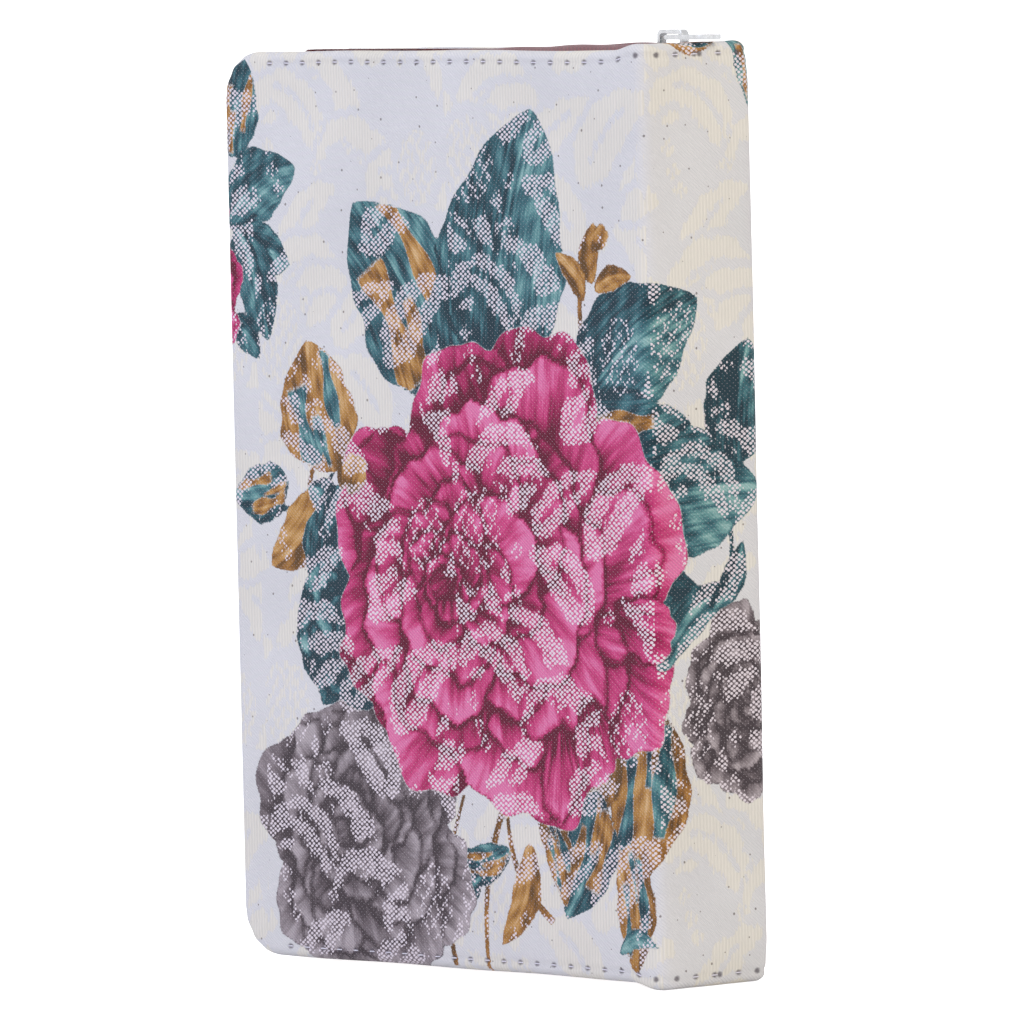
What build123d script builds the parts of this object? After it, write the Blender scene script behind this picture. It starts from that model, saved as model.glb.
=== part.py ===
from build123d import *
import math
import os

os.makedirs("parts", exist_ok=True)

# A small hardback prayer book in a quilted cotton zip case.
# It stands upright: +Z up, front panel towards -Y, spine towards +X.
# While it is built, x = 0 is the outer face of the spine. All sizes are in millimetres.

# Case, closed
cover_width = 125.0        # fore-edge to the outer face of the spine
cover_height = 180.0       # front and back panels
book_thickness = 28.0      # over both panels
spine_rise = 1.2           # how far the spine stands past the panels, at each end
rise_start = 10.5          # where the panel hem starts to climb to the spine's height
rise_end = 3.6             # and where it gets there
rise_softness = 12.0       # radius of the two gentle bends in that climb
fore_corner_radius = 10.0
spine_edge_radius = 3.0
hem_roll = 2.0             # rounding of the padded hem

# Layers of the case, from the outside in
fabric_thickness = 0.6
wadding_thickness = 0.9
stiffener_thickness = 1.0
lining_thickness = 0.4
layer_slack = 0.1          # between the cotton and its wadding
hem_width = 4.5            # outer edge to the stiffener: the sewn hem
lining_margin = 1.8        # outer edge to the lining
fold_margin = 4.0          # fold of the spine to a stiffener beside it

# Pockets that take the boards of the book
pocket_thickness = 0.4
pocket_margin = 2.0
pocket_width = 70.0

# Hardback book
board_thickness = 2.0
board_play = 1.0           # board to the wall of its pocket
board_joint = 7.5          # outer face of the spine to the board
book_spine_thickness = 1.7
book_spine_play = 0.3
book_spine_width = 19.2
endpaper_thickness = 0.2
board_square = 3.0         # how far the boards stand past the leaves
leaf_opening = 0.6         # between the two halves of the leaves
signatures_per_half = 5
leaf_corner_radius = 5.0
sewn_back_depth = 4.7      # folded and glued part of the leaves
sewn_back_clearance = 0.3
mull_thickness = 0.2
headband_radius = 1.1
ribbon_width = 5.0
ribbon_thickness = 0.25
ribbon_from_spine = 13.0
ribbon_tail = 2.6

# Zip: burgundy tape, moulded teeth, cast slider
zip_offset = 2.5           # the zip line lies this far towards the back
tape_thickness = 0.6
tape_margin = 0.9          # outer edge to the tape
tape_leg = 3.3             # part of the tape inside the hem
tape_leg_depth = 1.8       # outer face of the panel to the tape in its hem
tape_end_gap = 0.4         # tape to the inside of the spine
tooth_pitch = 2.9
tooth_thickness = 2.0
tooth_root = 2.3           # zip line to the tape
tooth_reach = 0.9          # how far a tooth passes the zip line
tooth_neck = 1.04
tooth_play = 0.12          # between a head and the necks beside it
end_stop_length = 1.2
end_stop_gap = 0.2
tooth_run_in = 1.2         # last tooth to the end stop

slider_length = 9.6
slider_nose_width = 10.0
slider_tail_width = 6.8
slider_plate = 0.7
slider_wall = 0.75
channel_play = 0.12
tape_slot = 1.1
wedge_length = 4.1
wedge_width = 1.8
bridge_length = 7.2
bridge_width = 1.8
bridge_thickness = 0.8
bridge_corner = 1.1

pull_thickness = 0.9
pull_length = 12.2
pull_width = 5.4
pull_shoulder = 4.4
pull_clearance = 0.3
pull_hole = 2.2
pin_play = 0.2
pin_offset = 0.3           # pull pin to the middle of the slider

# Places that follow from the sizes above
half = book_thickness / 2
spine_height = cover_height + 2 * spine_rise
panel_low = spine_rise
panel_high = spine_rise + cover_height
stiffener_depth = fabric_thickness + layer_slack + wadding_thickness
lining_depth = stiffener_depth + stiffener_thickness
case_depth = lining_depth + lining_thickness
board_depth = case_depth
pastedown_depth = board_depth + board_thickness
pocket_depth = pastedown_depth + endpaper_thickness
flyleaf_depth = pocket_depth + pocket_thickness
leaf_depth = flyleaf_depth + endpaper_thickness
board_margin = pocket_margin + pocket_thickness + board_play
leaf_margin = board_margin + board_square
book_spine_face = -case_depth - book_spine_play
sewn_back_face = book_spine_face - book_spine_thickness - mull_thickness - book_spine_play
leaf_spine_edge = sewn_back_face - sewn_back_depth - sewn_back_clearance
tape_edge_x = -case_depth - tape_end_gap
tape_middle_margin = tape_margin + tape_thickness / 2
chain_z = panel_high - tape_middle_margin
tooth_head = tooth_pitch - tooth_neck - 2 * tooth_play
slider_half_height = tooth_thickness / 2 + channel_play + slider_plate
slider_x = tape_edge_x - end_stop_length - end_stop_gap - slider_length / 2
pin_x = slider_x + pin_offset
pin_z = max(spine_height + pull_clearance, chain_z + slider_half_height + pin_play) + pull_thickness / 2
pull_overhang = pin_x + pull_length
spine_x = (cover_width - max(pull_overhang, 0.0)) / 2
fold_inset = spine_edge_radius * (1 - math.sqrt(0.5))
beyond = 20.0              # cutting solids reach this far past the book
near = 0.01                # tolerance for picking edges


def slab(face, y_low, y_high):
    """A face drawn on XZ, made solid from y_low to y_high."""
    return extrude(Plane.XZ.offset(-y_high) * face, y_high - y_low)


def at_depth(face, depth, thickness):
    """A layer of the front panel, measured from its outer face."""
    return slab(face, depth - half, depth + thickness - half)


def column(points):
    """An upright solid on a plan of the book, past both of its ends."""
    plan = make_face(Polyline(*points, close=True))
    return extrude(Plane.XY.offset(-beyond) * plan, spine_height + 2 * beyond)


def front_zone():
    """The front panel's side of the mitre at the fold."""
    return column([
        (beyond, -half - beyond),
        (-case_depth, case_depth - half),
        (-cover_width - beyond, case_depth - half),
        (-cover_width - beyond, -half - beyond),
    ])


def spine_zone():
    """The spine, between the mitres at its two folds."""
    return column([
        (beyond, -half - beyond),
        (-case_depth, case_depth - half),
        (-case_depth, half - case_depth),
        (beyond, half + beyond),
    ])


def panel_face(margin, spine_edge, radius=fore_corner_radius):
    """Panel outline with its round fore-edge corners, moved in by margin."""
    left = margin - cover_width
    low = panel_low + margin
    high = panel_high - margin
    face = make_face(Polyline((spine_edge, low), (left, low), (left, high), (spine_edge, high), close=True))
    corners = face.vertices().filter_by_position(Axis.X, left - near, left + near)
    return fillet(corners, max(radius - margin, 0.5))


def case_face(inset):
    """Outline of the closed case: the hems climb to the height of the spine."""
    left = inset - cover_width
    low = panel_low + inset
    high = panel_high - inset
    face = make_face(Polyline(
        (-inset, inset),
        (-rise_end, inset),
        (-rise_start, low),
        (left, low),
        (left, high),
        (-rise_start, high),
        (-rise_end, spine_height - inset),
        (-inset, spine_height - inset),
        close=True,
    ))
    bends = face.vertices().filter_by_position(Axis.X, -rise_start - near, -rise_end + near)
    face = fillet(bends, rise_softness)
    corners = face.vertices().filter_by_position(Axis.X, left - near, left + near)
    return fillet(corners, fore_corner_radius - inset)


def case_block(inset, rolled=True):
    """The closed case as one soft-edged block, moved in by inset on every side."""
    depth = half - inset
    block = slab(case_face(inset), -depth, depth)
    upright = block.edges().filter_by(Axis.Z).filter_by_position(Axis.X, -inset - near, -inset + near)
    fold_radius = spine_edge_radius - inset
    block = fillet(upright, fold_radius)

    def in_rim(edge):
        middle = edge.center()
        if middle.X > -inset - fold_radius - near:
            at_end = min(middle.Z - inset, spine_height - inset - middle.Z) < near
            across = edge.geom_type == GeomType.LINE and abs(edge.tangent_at(0.5).Y) > 1 - near
            seam = across and middle.X < -inset - near
            return at_end and not seam
        return abs(abs(middle.Y) - depth) < near

    rim = block.edges().filter_by(in_rim)
    if rolled:
        return fillet(rim, hem_roll - inset)
    return chamfer(rim, (2 - math.sqrt(2)) * (hem_roll - inset))


def case_fabric():
    """Printed cotton: one cloth round the case, parted at the folds."""
    shell = case_block(0) - case_block(fabric_thickness, rolled=False)
    front = shell & front_zone()
    return front, shell & spine_zone()


def case_wadding():
    """Thin padding under the cotton."""
    block = case_block(fabric_thickness + layer_slack, rolled=False)
    front = block & front_zone()
    front = front & slab(panel_face(0, beyond, near), -half, stiffener_depth - half)
    spine = block & spine_zone()
    spine = spine & Pos(-stiffener_depth / 2, 0, spine_height / 2) * Box(
        stiffener_depth, 2 * beyond + book_thickness, spine_height
    )
    return front, spine


def spine_plate(depth, thickness, width, margin):
    """A flat piece of the spine, from its depth under the outer face."""
    height = spine_height - 2 * margin
    return Pos(-depth - thickness / 2, 0, spine_height / 2) * Box(thickness, width, height)


def stiffeners():
    front = at_depth(panel_face(hem_width, -fold_margin), stiffener_depth, stiffener_thickness)
    spine = spine_plate(stiffener_depth, stiffener_thickness, book_thickness - 2 * fold_margin, hem_width)
    return front, spine


def linings():
    front = at_depth(panel_face(lining_margin, 0), lining_depth, lining_thickness) & front_zone()
    spine = spine_plate(lining_depth, lining_thickness, book_thickness, lining_margin) & spine_zone()
    return front, spine


def pocket():
    """Turned-in flap that holds a board, open towards the spine."""
    mouth = pocket_width - cover_width
    outer = panel_face(pocket_margin, mouth)
    inner = panel_face(pocket_margin + pocket_thickness, mouth)
    wall = at_depth(outer - inner, case_depth, pocket_depth - case_depth)
    return wall + at_depth(outer, pocket_depth, pocket_thickness)


def book_board():
    return at_depth(panel_face(board_margin, -board_joint), board_depth, board_thickness)


def endpaper():
    """Pastedown and flyleaf, one sheet folded at the joint."""
    paste_edge = leaf_margin - board_square / 3 - cover_width
    leaf_edge = leaf_margin - cover_width
    fold = leaf_spine_edge + sewn_back_clearance / 2 + endpaper_thickness
    profile = make_face(Polyline(
        (paste_edge, pastedown_depth - half),
        (fold, pastedown_depth - half),
        (fold, leaf_depth - half),
        (leaf_edge, leaf_depth - half),
        (leaf_edge, flyleaf_depth - half),
        (fold - endpaper_thickness, flyleaf_depth - half),
        (fold - endpaper_thickness, pocket_depth - half),
        (paste_edge, pocket_depth - half),
        close=True,
    ))
    low = panel_low + leaf_margin
    return extrude(Plane.XY.offset(low) * profile, cover_height - 2 * leaf_margin)


def leaves():
    """Half of the leaves, as folded signatures that lie on each other."""
    thickness = (half - leaf_opening / 2 - leaf_depth) / signatures_per_half
    face = panel_face(leaf_margin, leaf_spine_edge, leaf_corner_radius + leaf_margin)
    return Compound([
        at_depth(face, leaf_depth + number * thickness, thickness)
        for number in range(signatures_per_half)
    ])


def sewn_back():
    """Folds of all signatures, sewn and glued at the spine."""
    width = book_thickness - 2 * leaf_depth - sewn_back_clearance
    height = cover_height - 2 * leaf_margin
    x = sewn_back_face - sewn_back_depth / 2
    return Pos(x, 0, spine_height / 2) * Box(sewn_back_depth, width, height)


def mull():
    """Gauze over the sewn back."""
    width = book_thickness - 2 * leaf_depth - sewn_back_clearance
    height = cover_height - 2 * leaf_margin - 2 * board_square
    return Pos(sewn_back_face + mull_thickness / 2, 0, spine_height / 2) * Box(mull_thickness, width, height)


def headbands():
    """A bead of silk over each end of the sewn back."""
    width = book_thickness - 2 * leaf_depth - sewn_back_clearance
    bead = Rot(90, 0, 0) * Cylinder(headband_radius, width)
    bead = bead & Pos(0, 0, headband_radius) * Box(4 * headband_radius, width, 2 * headband_radius)
    x = sewn_back_face - headband_radius
    top = Pos(x, 0, panel_high - leaf_margin) * bead
    bottom = Pos(x, 0, panel_low + leaf_margin) * Rot(180, 0, 0) * bead
    return Compound([top, bottom])


def book_spine():
    """Spine strip of the hardback, slightly round on its outer face."""
    depth = -book_spine_face
    plate = spine_plate(depth, book_spine_thickness, book_spine_width, spine_rise + board_margin)
    outer = plate.edges().filter_by(Axis.Z).filter_by_position(Axis.X, -depth - near, -depth + near)
    return fillet(outer, 0.6 * book_spine_thickness)


def ribbon():
    """Marker between the halves of the leaves, its tail past their foot."""
    low = panel_low + leaf_margin - ribbon_tail
    high = panel_high - leaf_margin
    x = -ribbon_from_spine - ribbon_width / 2
    return Pos(x, 0, (low + high) / 2) * Box(ribbon_width, ribbon_thickness, high - low)


def tape(side):
    """Zip tape of one side: a leg in the hem and a wall out to the teeth."""
    outer = panel_face(tape_margin, tape_edge_x)
    wall_face = outer - panel_face(tape_margin + tape_thickness, tape_edge_x)
    leg_face = outer - panel_face(tape_margin + tape_leg, tape_edge_x)
    edge = zip_offset + side * tooth_root
    sunk = half - tape_leg_depth
    wall = slab(wall_face, *sorted((side * sunk, edge)))
    leg = slab(leg_face, *sorted((side * sunk, side * (sunk - tape_thickness))))
    return wall + leg


def zip_path():
    """Inner line of the teeth, round three sides of the book."""
    inset = tape_middle_margin + tooth_thickness / 2
    left = inset - cover_width
    top = panel_high - inset
    low = panel_low + inset
    end = tape_edge_x - end_stop_length - tooth_run_in
    return FilletPolyline(
        (slider_x, 0, top),
        (left, 0, top),
        (left, 0, low),
        (end, 0, low),
        radius=fore_corner_radius - inset,
    )


def teeth(side):
    """One row of moulded teeth. The other row stands half a pitch further on."""
    path = zip_path()
    root = zip_offset + side * tooth_root
    waist = zip_offset + side * tooth_neck / 2
    tip = zip_offset - side * tooth_reach
    plan = make_face(Polyline(
        (-tooth_neck / 2, -root),
        (-tooth_neck / 2, -waist),
        (-tooth_head / 2, -tip),
        (tooth_head / 2, -tip),
        (tooth_neck / 2, -waist),
        (tooth_neck / 2, -root),
        close=True,
    ))
    tooth = extrude(plan, tooth_thickness, dir=(0, 0, 1))
    start = tooth_head / 2 + (tooth_pitch / 2 if side > 0 else 0)
    count = int((path.length - start - tooth_head / 2) / tooth_pitch) + 1
    row = []
    for number in range(count):
        along = (start + number * tooth_pitch) / path.length
        tangent = path % along
        outward = Vector(0, 1, 0).cross(tangent)
        row.append(tooth.moved(Plane(origin=path @ along, x_dir=tangent, z_dir=outward).location))
    return Compound(row)


def top_stop(side):
    """Small clamp that keeps the slider on its row."""
    size = 2 * tape_slot
    x = tape_edge_x - end_stop_length / 2
    y = zip_offset + side * (tooth_root - size / 4)
    return Pos(x, y, chain_z) * Box(end_stop_length, size / 2, size)


def end_stop():
    """Staple that joins the rows at the foot of the spine."""
    x = tape_edge_x - end_stop_length / 2
    z = panel_low + tape_middle_margin
    staple = Box(end_stop_length, 2 * tooth_root, tooth_thickness)
    staple = chamfer(staple.edges().filter_by(Axis.Y), end_stop_length / 4)
    return Pos(x, zip_offset, z) * staple


def slider_plan(length, nose, tail):
    """Plan of the slider, wider at its nose, on +X."""
    plan = make_face(Polyline(
        (-length / 2, -tail / 2),
        (0, -tail / 2),
        (length / 3, -nose / 2),
        (length / 2, -nose / 2),
        (length / 2, nose / 2),
        (length / 3, nose / 2),
        (0, tail / 2),
        (-length / 2, tail / 2),
        close=True,
    ))
    return plan


def slider():
    """Cast body: two plates, side walls with a slot for the tape, a wedge and a bridge."""
    plan = slider_plan(slider_length, slider_nose_width, slider_tail_width)
    ends = plan.vertices().group_by(Axis.X)[0] + plan.vertices().group_by(Axis.X)[-1]
    outer = fillet(ends, slider_wall)
    inner = slider_plan(
        slider_length + 2 * near,
        slider_nose_width - 2 * slider_wall,
        slider_tail_width - 2 * slider_wall,
    )
    channel = tooth_thickness / 2 + channel_play
    body = Plane.XY.offset(-slider_half_height) * outer
    body = extrude(body, 2 * slider_half_height)
    body -= extrude(Plane.XY.offset(-channel) * inner, 2 * channel)
    body -= Box(2 * slider_length, 2 * slider_nose_width, tape_slot)
    nose = slider_length / 2
    wedge = make_face(Polyline(
        (nose - wedge_length, 0),
        (nose - wedge_length / 4, -wedge_width / 2),
        (nose - slider_wall / 2, 0),
        (nose - wedge_length / 4, wedge_width / 2),
        close=True,
    ))
    body += extrude(Plane.XY.offset(-channel - slider_plate / 2) * wedge, 2 * channel + slider_plate)
    return Pos(slider_x, zip_offset, chain_z) * (body + bridge())


def bridge():
    """Arch over the slider that holds the pin of the pull."""
    foot = slider_half_height - slider_plate / 2
    inside = pin_z - chain_z + pull_thickness / 2 + pin_play
    top = inside + bridge_thickness
    reach = bridge_length / 2
    outer = make_face(Polyline((-reach, foot), (reach, foot), (reach, top), (-reach, top), close=True))
    outer = fillet(outer.vertices().group_by(Axis.Y)[-1], bridge_corner)
    reach -= bridge_thickness
    inner = make_face(Polyline((-reach, foot), (reach, foot), (reach, inside), (-reach, inside), close=True))
    inner = fillet(inner.vertices().group_by(Axis.Y)[-1], bridge_corner / 2)
    return slab(outer - inner, -bridge_width / 2, bridge_width / 2)


def pull():
    """Pull tab: a pin through the bridge, an eye and a rounded tab with a hole."""
    eye_width = bridge_width + 2 * pull_clearance
    eye_end = bridge_length / 2 - pin_offset + 2 * pull_clearance
    tip = pull_length - pull_width / 2
    plan = make_face(Polyline(
        (0, -pull_shoulder / 2),
        (tip, -pull_width / 2),
        (tip, pull_width / 2),
        (0, pull_shoulder / 2),
        close=True,
    ))
    plan += Pos(tip, 0) * Circle(pull_width / 2)
    plan -= Pos(eye_end / 2, 0) * Rectangle(eye_end, eye_width)
    plan -= Pos(tip, 0) * Circle(pull_hole / 2)
    tab = extrude(Plane.XY.offset(-pull_thickness / 2) * plan, pull_thickness)
    pin = Rot(90, 0, 0) * Cylinder(pull_thickness / 2, pull_shoulder)
    return Pos(pin_x, zip_offset, pin_z) * (tab + pin)


def back_of(piece):
    return mirror(piece, about=Plane.XZ)


def build():
    """Every piece, by the name of its node."""
    pieces = {}
    pairs = {
        "cover_fabric": case_fabric(),
        "wadding": case_wadding(),
        "stiffener": stiffeners(),
        "lining": linings(),
    }
    for name, (front, spine) in pairs.items():
        pieces["front_" + name] = front
        pieces["spine_" + name] = spine
        pieces["back_" + name] = back_of(front)
    halves = {
        "pocket": pocket(),
        "book_board": book_board(),
        "endpaper": endpaper(),
        "leaves": leaves(),
    }
    for name, front in halves.items():
        pieces["front_" + name] = front
        pieces["back_" + name] = back_of(front)
    for side, word in ((-1, "front"), (1, "back")):
        pieces[word + "_zip_tape"] = tape(side)
        pieces[word + "_zip_teeth"] = teeth(side)
        pieces[word + "_zip_top_stop"] = top_stop(side)
    pieces["sewn_back"] = sewn_back()
    pieces["mull"] = mull()
    pieces["headbands"] = headbands()
    pieces["book_spine"] = book_spine()
    pieces["ribbon_marker"] = ribbon()
    pieces["zip_end_stop"] = end_stop()
    pieces["zip_slider"] = slider()
    pieces["zip_pull"] = pull()
    return pieces


for name, piece in build().items():
    export_step(Pos(spine_x, 0, 0) * piece, f"parts/{name}.step")
    print(name, round(piece.volume, 2))

print("spine face x", round(spine_x, 4))
print("back fold axis", round(spine_x - fold_inset, 4), round(half - fold_inset, 4))
print("pull pin", round(spine_x + pin_x, 4), zip_offset, round(pin_z, 4))
print("slide run", round(cover_width - fore_corner_radius + slider_x - slider_length / 2, 3))
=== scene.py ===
import bpy
import bmesh
import math
import numpy as np
from mathutils import Matrix, Vector


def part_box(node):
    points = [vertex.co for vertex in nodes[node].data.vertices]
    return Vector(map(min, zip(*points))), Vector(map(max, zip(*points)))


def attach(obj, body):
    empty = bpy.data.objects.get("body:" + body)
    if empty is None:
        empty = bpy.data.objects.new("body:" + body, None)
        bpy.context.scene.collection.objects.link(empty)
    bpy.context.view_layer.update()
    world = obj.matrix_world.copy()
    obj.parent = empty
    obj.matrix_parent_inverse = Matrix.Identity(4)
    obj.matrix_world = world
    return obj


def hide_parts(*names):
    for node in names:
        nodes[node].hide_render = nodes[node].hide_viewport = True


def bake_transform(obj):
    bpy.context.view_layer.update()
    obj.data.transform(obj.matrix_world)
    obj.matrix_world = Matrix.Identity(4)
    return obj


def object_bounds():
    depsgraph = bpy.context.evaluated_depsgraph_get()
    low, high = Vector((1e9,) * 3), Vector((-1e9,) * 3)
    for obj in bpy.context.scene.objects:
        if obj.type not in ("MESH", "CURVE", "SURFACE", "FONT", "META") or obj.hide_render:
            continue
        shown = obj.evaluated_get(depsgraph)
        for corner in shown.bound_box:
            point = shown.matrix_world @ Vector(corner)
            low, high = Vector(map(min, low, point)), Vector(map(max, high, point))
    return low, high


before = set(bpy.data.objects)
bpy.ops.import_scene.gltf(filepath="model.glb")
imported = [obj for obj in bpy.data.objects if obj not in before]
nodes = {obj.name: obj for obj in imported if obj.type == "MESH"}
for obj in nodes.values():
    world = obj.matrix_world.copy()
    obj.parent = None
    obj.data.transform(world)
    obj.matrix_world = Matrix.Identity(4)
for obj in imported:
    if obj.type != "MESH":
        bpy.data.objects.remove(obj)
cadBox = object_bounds()
mm = 0.001


def linearColour(hexText):
    parts = [int(hexText[i:i + 2], 16) / 255 for i in (1, 3, 5)]
    return tuple(c / 12.92 if c <= 0.04045 else ((c + 0.055) / 1.055) ** 2.4 for c in parts) + (1.0,)


def newMaterial(name):
    material = bpy.data.materials.new(name)
    material.use_nodes = True
    tree = material.node_tree
    return material, tree, tree.nodes["Principled BSDF"]


def addNode(tree, kind, inputs=None, **settings):
    node = tree.nodes.new("ShaderNode" + kind)
    for key, value in settings.items():
        setattr(node, key, value)
    for key, value in (inputs or {}).items():
        if isinstance(value, bpy.types.Node):
            value = value.outputs[0]
        if isinstance(value, bpy.types.NodeSocket):
            tree.links.new(value, node.inputs[key])
        else:
            node.inputs[key].default_value = value
    return node


def finishShader(tree, shader, colour, height, strength, depth, values):
    # colour and relief to the shader, relief depth in metres, and the values that are the same all over
    bump = addNode(tree, "Bump", {"Height": height, "Strength": strength, "Distance": depth})
    for source, name in ((colour, "Base Color"), (bump, "Normal")):
        socket = source.outputs[0] if isinstance(source, bpy.types.Node) else source
        tree.links.new(socket, shader.inputs[name])
    for name, value in values.items():
        shader.inputs[name].default_value = value


def setRamp(node, stops, interpolation="LINEAR"):
    ramp = node.color_ramp
    ramp.interpolation = interpolation
    while len(ramp.elements) < len(stops):
        ramp.elements.new(0.5)
    for element, (place, colour) in zip(ramp.elements, stops):
        element.position = place
        element.color = linearColour(colour) if isinstance(colour, str) else (colour, colour, colour, 1.0)
    return node


def readPoints(mesh):
    values = np.zeros(len(mesh.vertices) * 3, np.float32)
    mesh.vertices.foreach_get("co", values)
    return values.reshape(-1, 3).astype(float)


def writePoints(mesh, points):
    mesh.vertices.foreach_set("co", np.asarray(points, np.float32).ravel())
    mesh.update()


def keepField(mesh, name, kind, values):
    attribute = mesh.attributes.get(name) or mesh.attributes.new(name, kind, "POINT")
    key = {"FLOAT": "value", "FLOAT_VECTOR": "vector", "FLOAT_COLOR": "color"}[kind]
    attribute.data.foreach_set(key, np.asarray(values, np.float32).ravel())


def readField(mesh, name):
    attribute = mesh.attributes[name]
    values = np.zeros(len(mesh.vertices) * 3, np.float32)
    attribute.data.foreach_get("vector", values)
    return values.reshape(-1, 3)


def newPiece(name, mesh, material):
    piece = bpy.data.objects.new(name, mesh)
    bpy.context.scene.collection.objects.link(piece)
    mesh.materials.clear()
    mesh.materials.append(material)
    mesh.polygons.foreach_set("use_smooth", [True] * len(mesh.polygons))
    return piece


def gridMesh(name, columns, rows, flip=False):
    shape = bmesh.new()
    bmesh.ops.create_grid(shape, x_segments=columns, y_segments=rows, size=0.5)
    if flip:
        bmesh.ops.reverse_faces(shape, faces=shape.faces)
    mesh = bpy.data.meshes.new(name)
    shape.to_mesh(mesh)
    shape.free()
    return mesh


def drawInCorners(x, z, left, foot, head, radius):
    # moves the two square corners at the left of a grid in to round ones
    centre = left + radius
    for edge, way in ((head - radius, 1), (foot + radius, -1)):
        a = (centre - x) / radius
        b = (z - edge) / radius * way
        inside = (a > 0) & (b > 0)
        newA = a * np.sqrt(np.maximum(1 - b * b / 2, 0))
        newB = b * np.sqrt(np.maximum(1 - a * a / 2, 0))
        x = np.where(inside, centre - newA * radius, x)
        z = np.where(inside, edge + newB * radius * way, z)
    return x, z


def smoothStep(t):
    t = np.clip(t, 0, 1)
    return t * t * (3 - 2 * t)


def softNoise(x, z, size, seed):
    random = np.random.RandomState(seed)
    total = np.zeros_like(x)
    for weight in (1.0, 0.6, 0.4, 0.3):
        a, b, phase = random.uniform(0, 2 * math.pi, 3)
        total += weight * np.sin((x * math.cos(a) + z * math.sin(a)) / size / weight + b)
        total += weight * np.sin((z * math.cos(phase) - x * math.sin(phase)) / size / weight + a)
    return total / 4.6


def finishMesh(piece):
    graph = bpy.context.evaluated_depsgraph_get()
    mesh = bpy.data.meshes.new_from_object(piece.evaluated_get(graph), preserve_all_data_layers=True,
        depsgraph=graph)
    old = piece.data
    piece.modifiers.clear()
    piece.data = mesh
    bpy.data.meshes.remove(old)
    return piece


def thicken(piece, thick, offset=0, rimOnly=False):
    solid = piece.modifiers.new("thickness", "SOLIDIFY")
    solid.thickness = thick * mm
    solid.offset = offset
    solid.use_rim_only = rimOnly
    finishMesh(piece)


def blendAtFold(piece, side):
    if side < 0:
        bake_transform(piece)
    else:
        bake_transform(piece)


# Camera and light

view = {
    "azimuth": 48.5,
    "elevation": 3.07,
    "roll": -1.33,
    "distance": 2.551,
    "lens": 457.5,
    "aside": (0.00286, -0.00204),
}


def makeCamera():
    a, e, r = (math.radians(view[key]) for key in ("azimuth", "elevation", "roll"))
    back = Vector((math.sin(a) * math.cos(e), -math.cos(a) * math.cos(e), math.sin(e)))
    level = Vector((math.cos(a), math.sin(a), 0))
    upright = back.cross(level)
    right = level * math.cos(r) + upright * math.sin(r)
    up = upright * math.cos(r) - level * math.sin(r)
    middle = (Vector(cadBox[0]) + Vector(cadBox[1])) / 2
    data = bpy.data.cameras.new("camera")
    data.lens = view["lens"]
    data.clip_end = 60
    camera = bpy.data.objects.new("camera", data)
    bpy.context.scene.collection.objects.link(camera)
    place = middle + back * view["distance"] + right * view["aside"][0] + up * view["aside"][1]
    camera.matrix_world = Matrix((
        (right.x, up.x, back.x, place.x),
        (right.y, up.y, back.y, place.y),
        (right.z, up.z, back.z, place.z),
        (0, 0, 0, 1),
    ))
    bpy.context.scene.camera = camera


studio = {
    "floorSize": 16.0,
    "floorColour": "#F2F2F2",
    "floorGlow": 0.98,
    "worldColour": "#F6F7FA",
    "worldStrength": 0.55,
    "lamps": [
        # name, place, size, watts, colour
        ("warmSide", (1.6, -0.25, 0.9), 1.0, 13.0, "#FFF3E2"),
        ("coolFront", (-0.6, -1.5, 0.8), 1.1, 14.5, "#DCE3FF"),
        ("overhead", (0.1, 0.1, 1.7), 1.2, 7.0, "#FFFFFF"),
    ],
}


def seenDirectly(tree):
    # 1 for rays from the camera, or by way of a mirror or glass
    rays = addNode(tree, "LightPath")
    seen = addNode(tree, "Math", {0: rays.outputs["Is Camera Ray"], 1: rays.outputs["Is Glossy Ray"]},
        operation="MAXIMUM")
    return addNode(tree, "Math", {0: seen, 1: rays.outputs["Is Transmission Ray"]}, operation="MAXIMUM")


def makeStudio():
    mesh = gridMesh("floor", 2, 2)
    writePoints(mesh, readPoints(mesh) * 2 * studio["floorSize"])
    floor = bpy.data.objects.new("floor", mesh)
    bpy.context.scene.collection.objects.link(floor)
    # matt white paper: an even ground
    material, tree, shader = newMaterial("mattePaperFloor")
    shader.inputs["Base Color"].default_value = linearColour(studio["floorColour"])
    shader.inputs["Roughness"].default_value = 0.9
    share = addNode(tree, "Math", {0: seenDirectly(tree), 1: studio["floorGlow"]}, operation="MULTIPLY")
    glow = addNode(tree, "Emission", {"Color": (1, 1, 1, 1), "Strength": share})
    both = addNode(tree, "AddShader", {0: shader, 1: glow})
    tree.links.new(both.outputs[0], tree.nodes["Material Output"].inputs["Surface"])
    mesh.materials.append(material)
    world = bpy.data.worlds.new("studio")
    bpy.context.scene.world = world
    world.use_nodes = True
    tree = world.node_tree
    ground = tree.nodes["Background"]
    ground.inputs["Color"].default_value = linearColour(studio["worldColour"])
    ground.inputs["Strength"].default_value = studio["worldStrength"]
    white = addNode(tree, "Background", {"Color": (1, 1, 1, 1), "Strength": 1.0})
    mix = addNode(tree, "MixShader", {0: seenDirectly(tree), 1: ground, 2: white})
    tree.links.new(mix.outputs[0], tree.nodes["World Output"].inputs["Surface"])
    for name, place, size, watts, colour in studio["lamps"]:
        data = bpy.data.lights.new(name, "AREA")
        data.shape = "DISK"
        data.size = size
        data.energy = watts
        data.color = linearColour(colour)[:3]
        lamp = bpy.data.objects.new(name, data)
        lamp.location = place
        aim = Vector((0, 0, 0.09)) - Vector(place)
        lamp.rotation_euler = aim.to_track_quat("-Z", "Y").to_euler()
        bpy.context.scene.collection.objects.link(lamp)


bpy.context.scene.view_settings.view_transform = "Standard"
makeCamera()
makeStudio()
print("camera and studio")


# Sizes that the cloth, tape and pages share, in mm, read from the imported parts

def boxMm(node):
    low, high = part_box(node)
    return np.array(low) / mm, np.array(high) / mm


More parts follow.
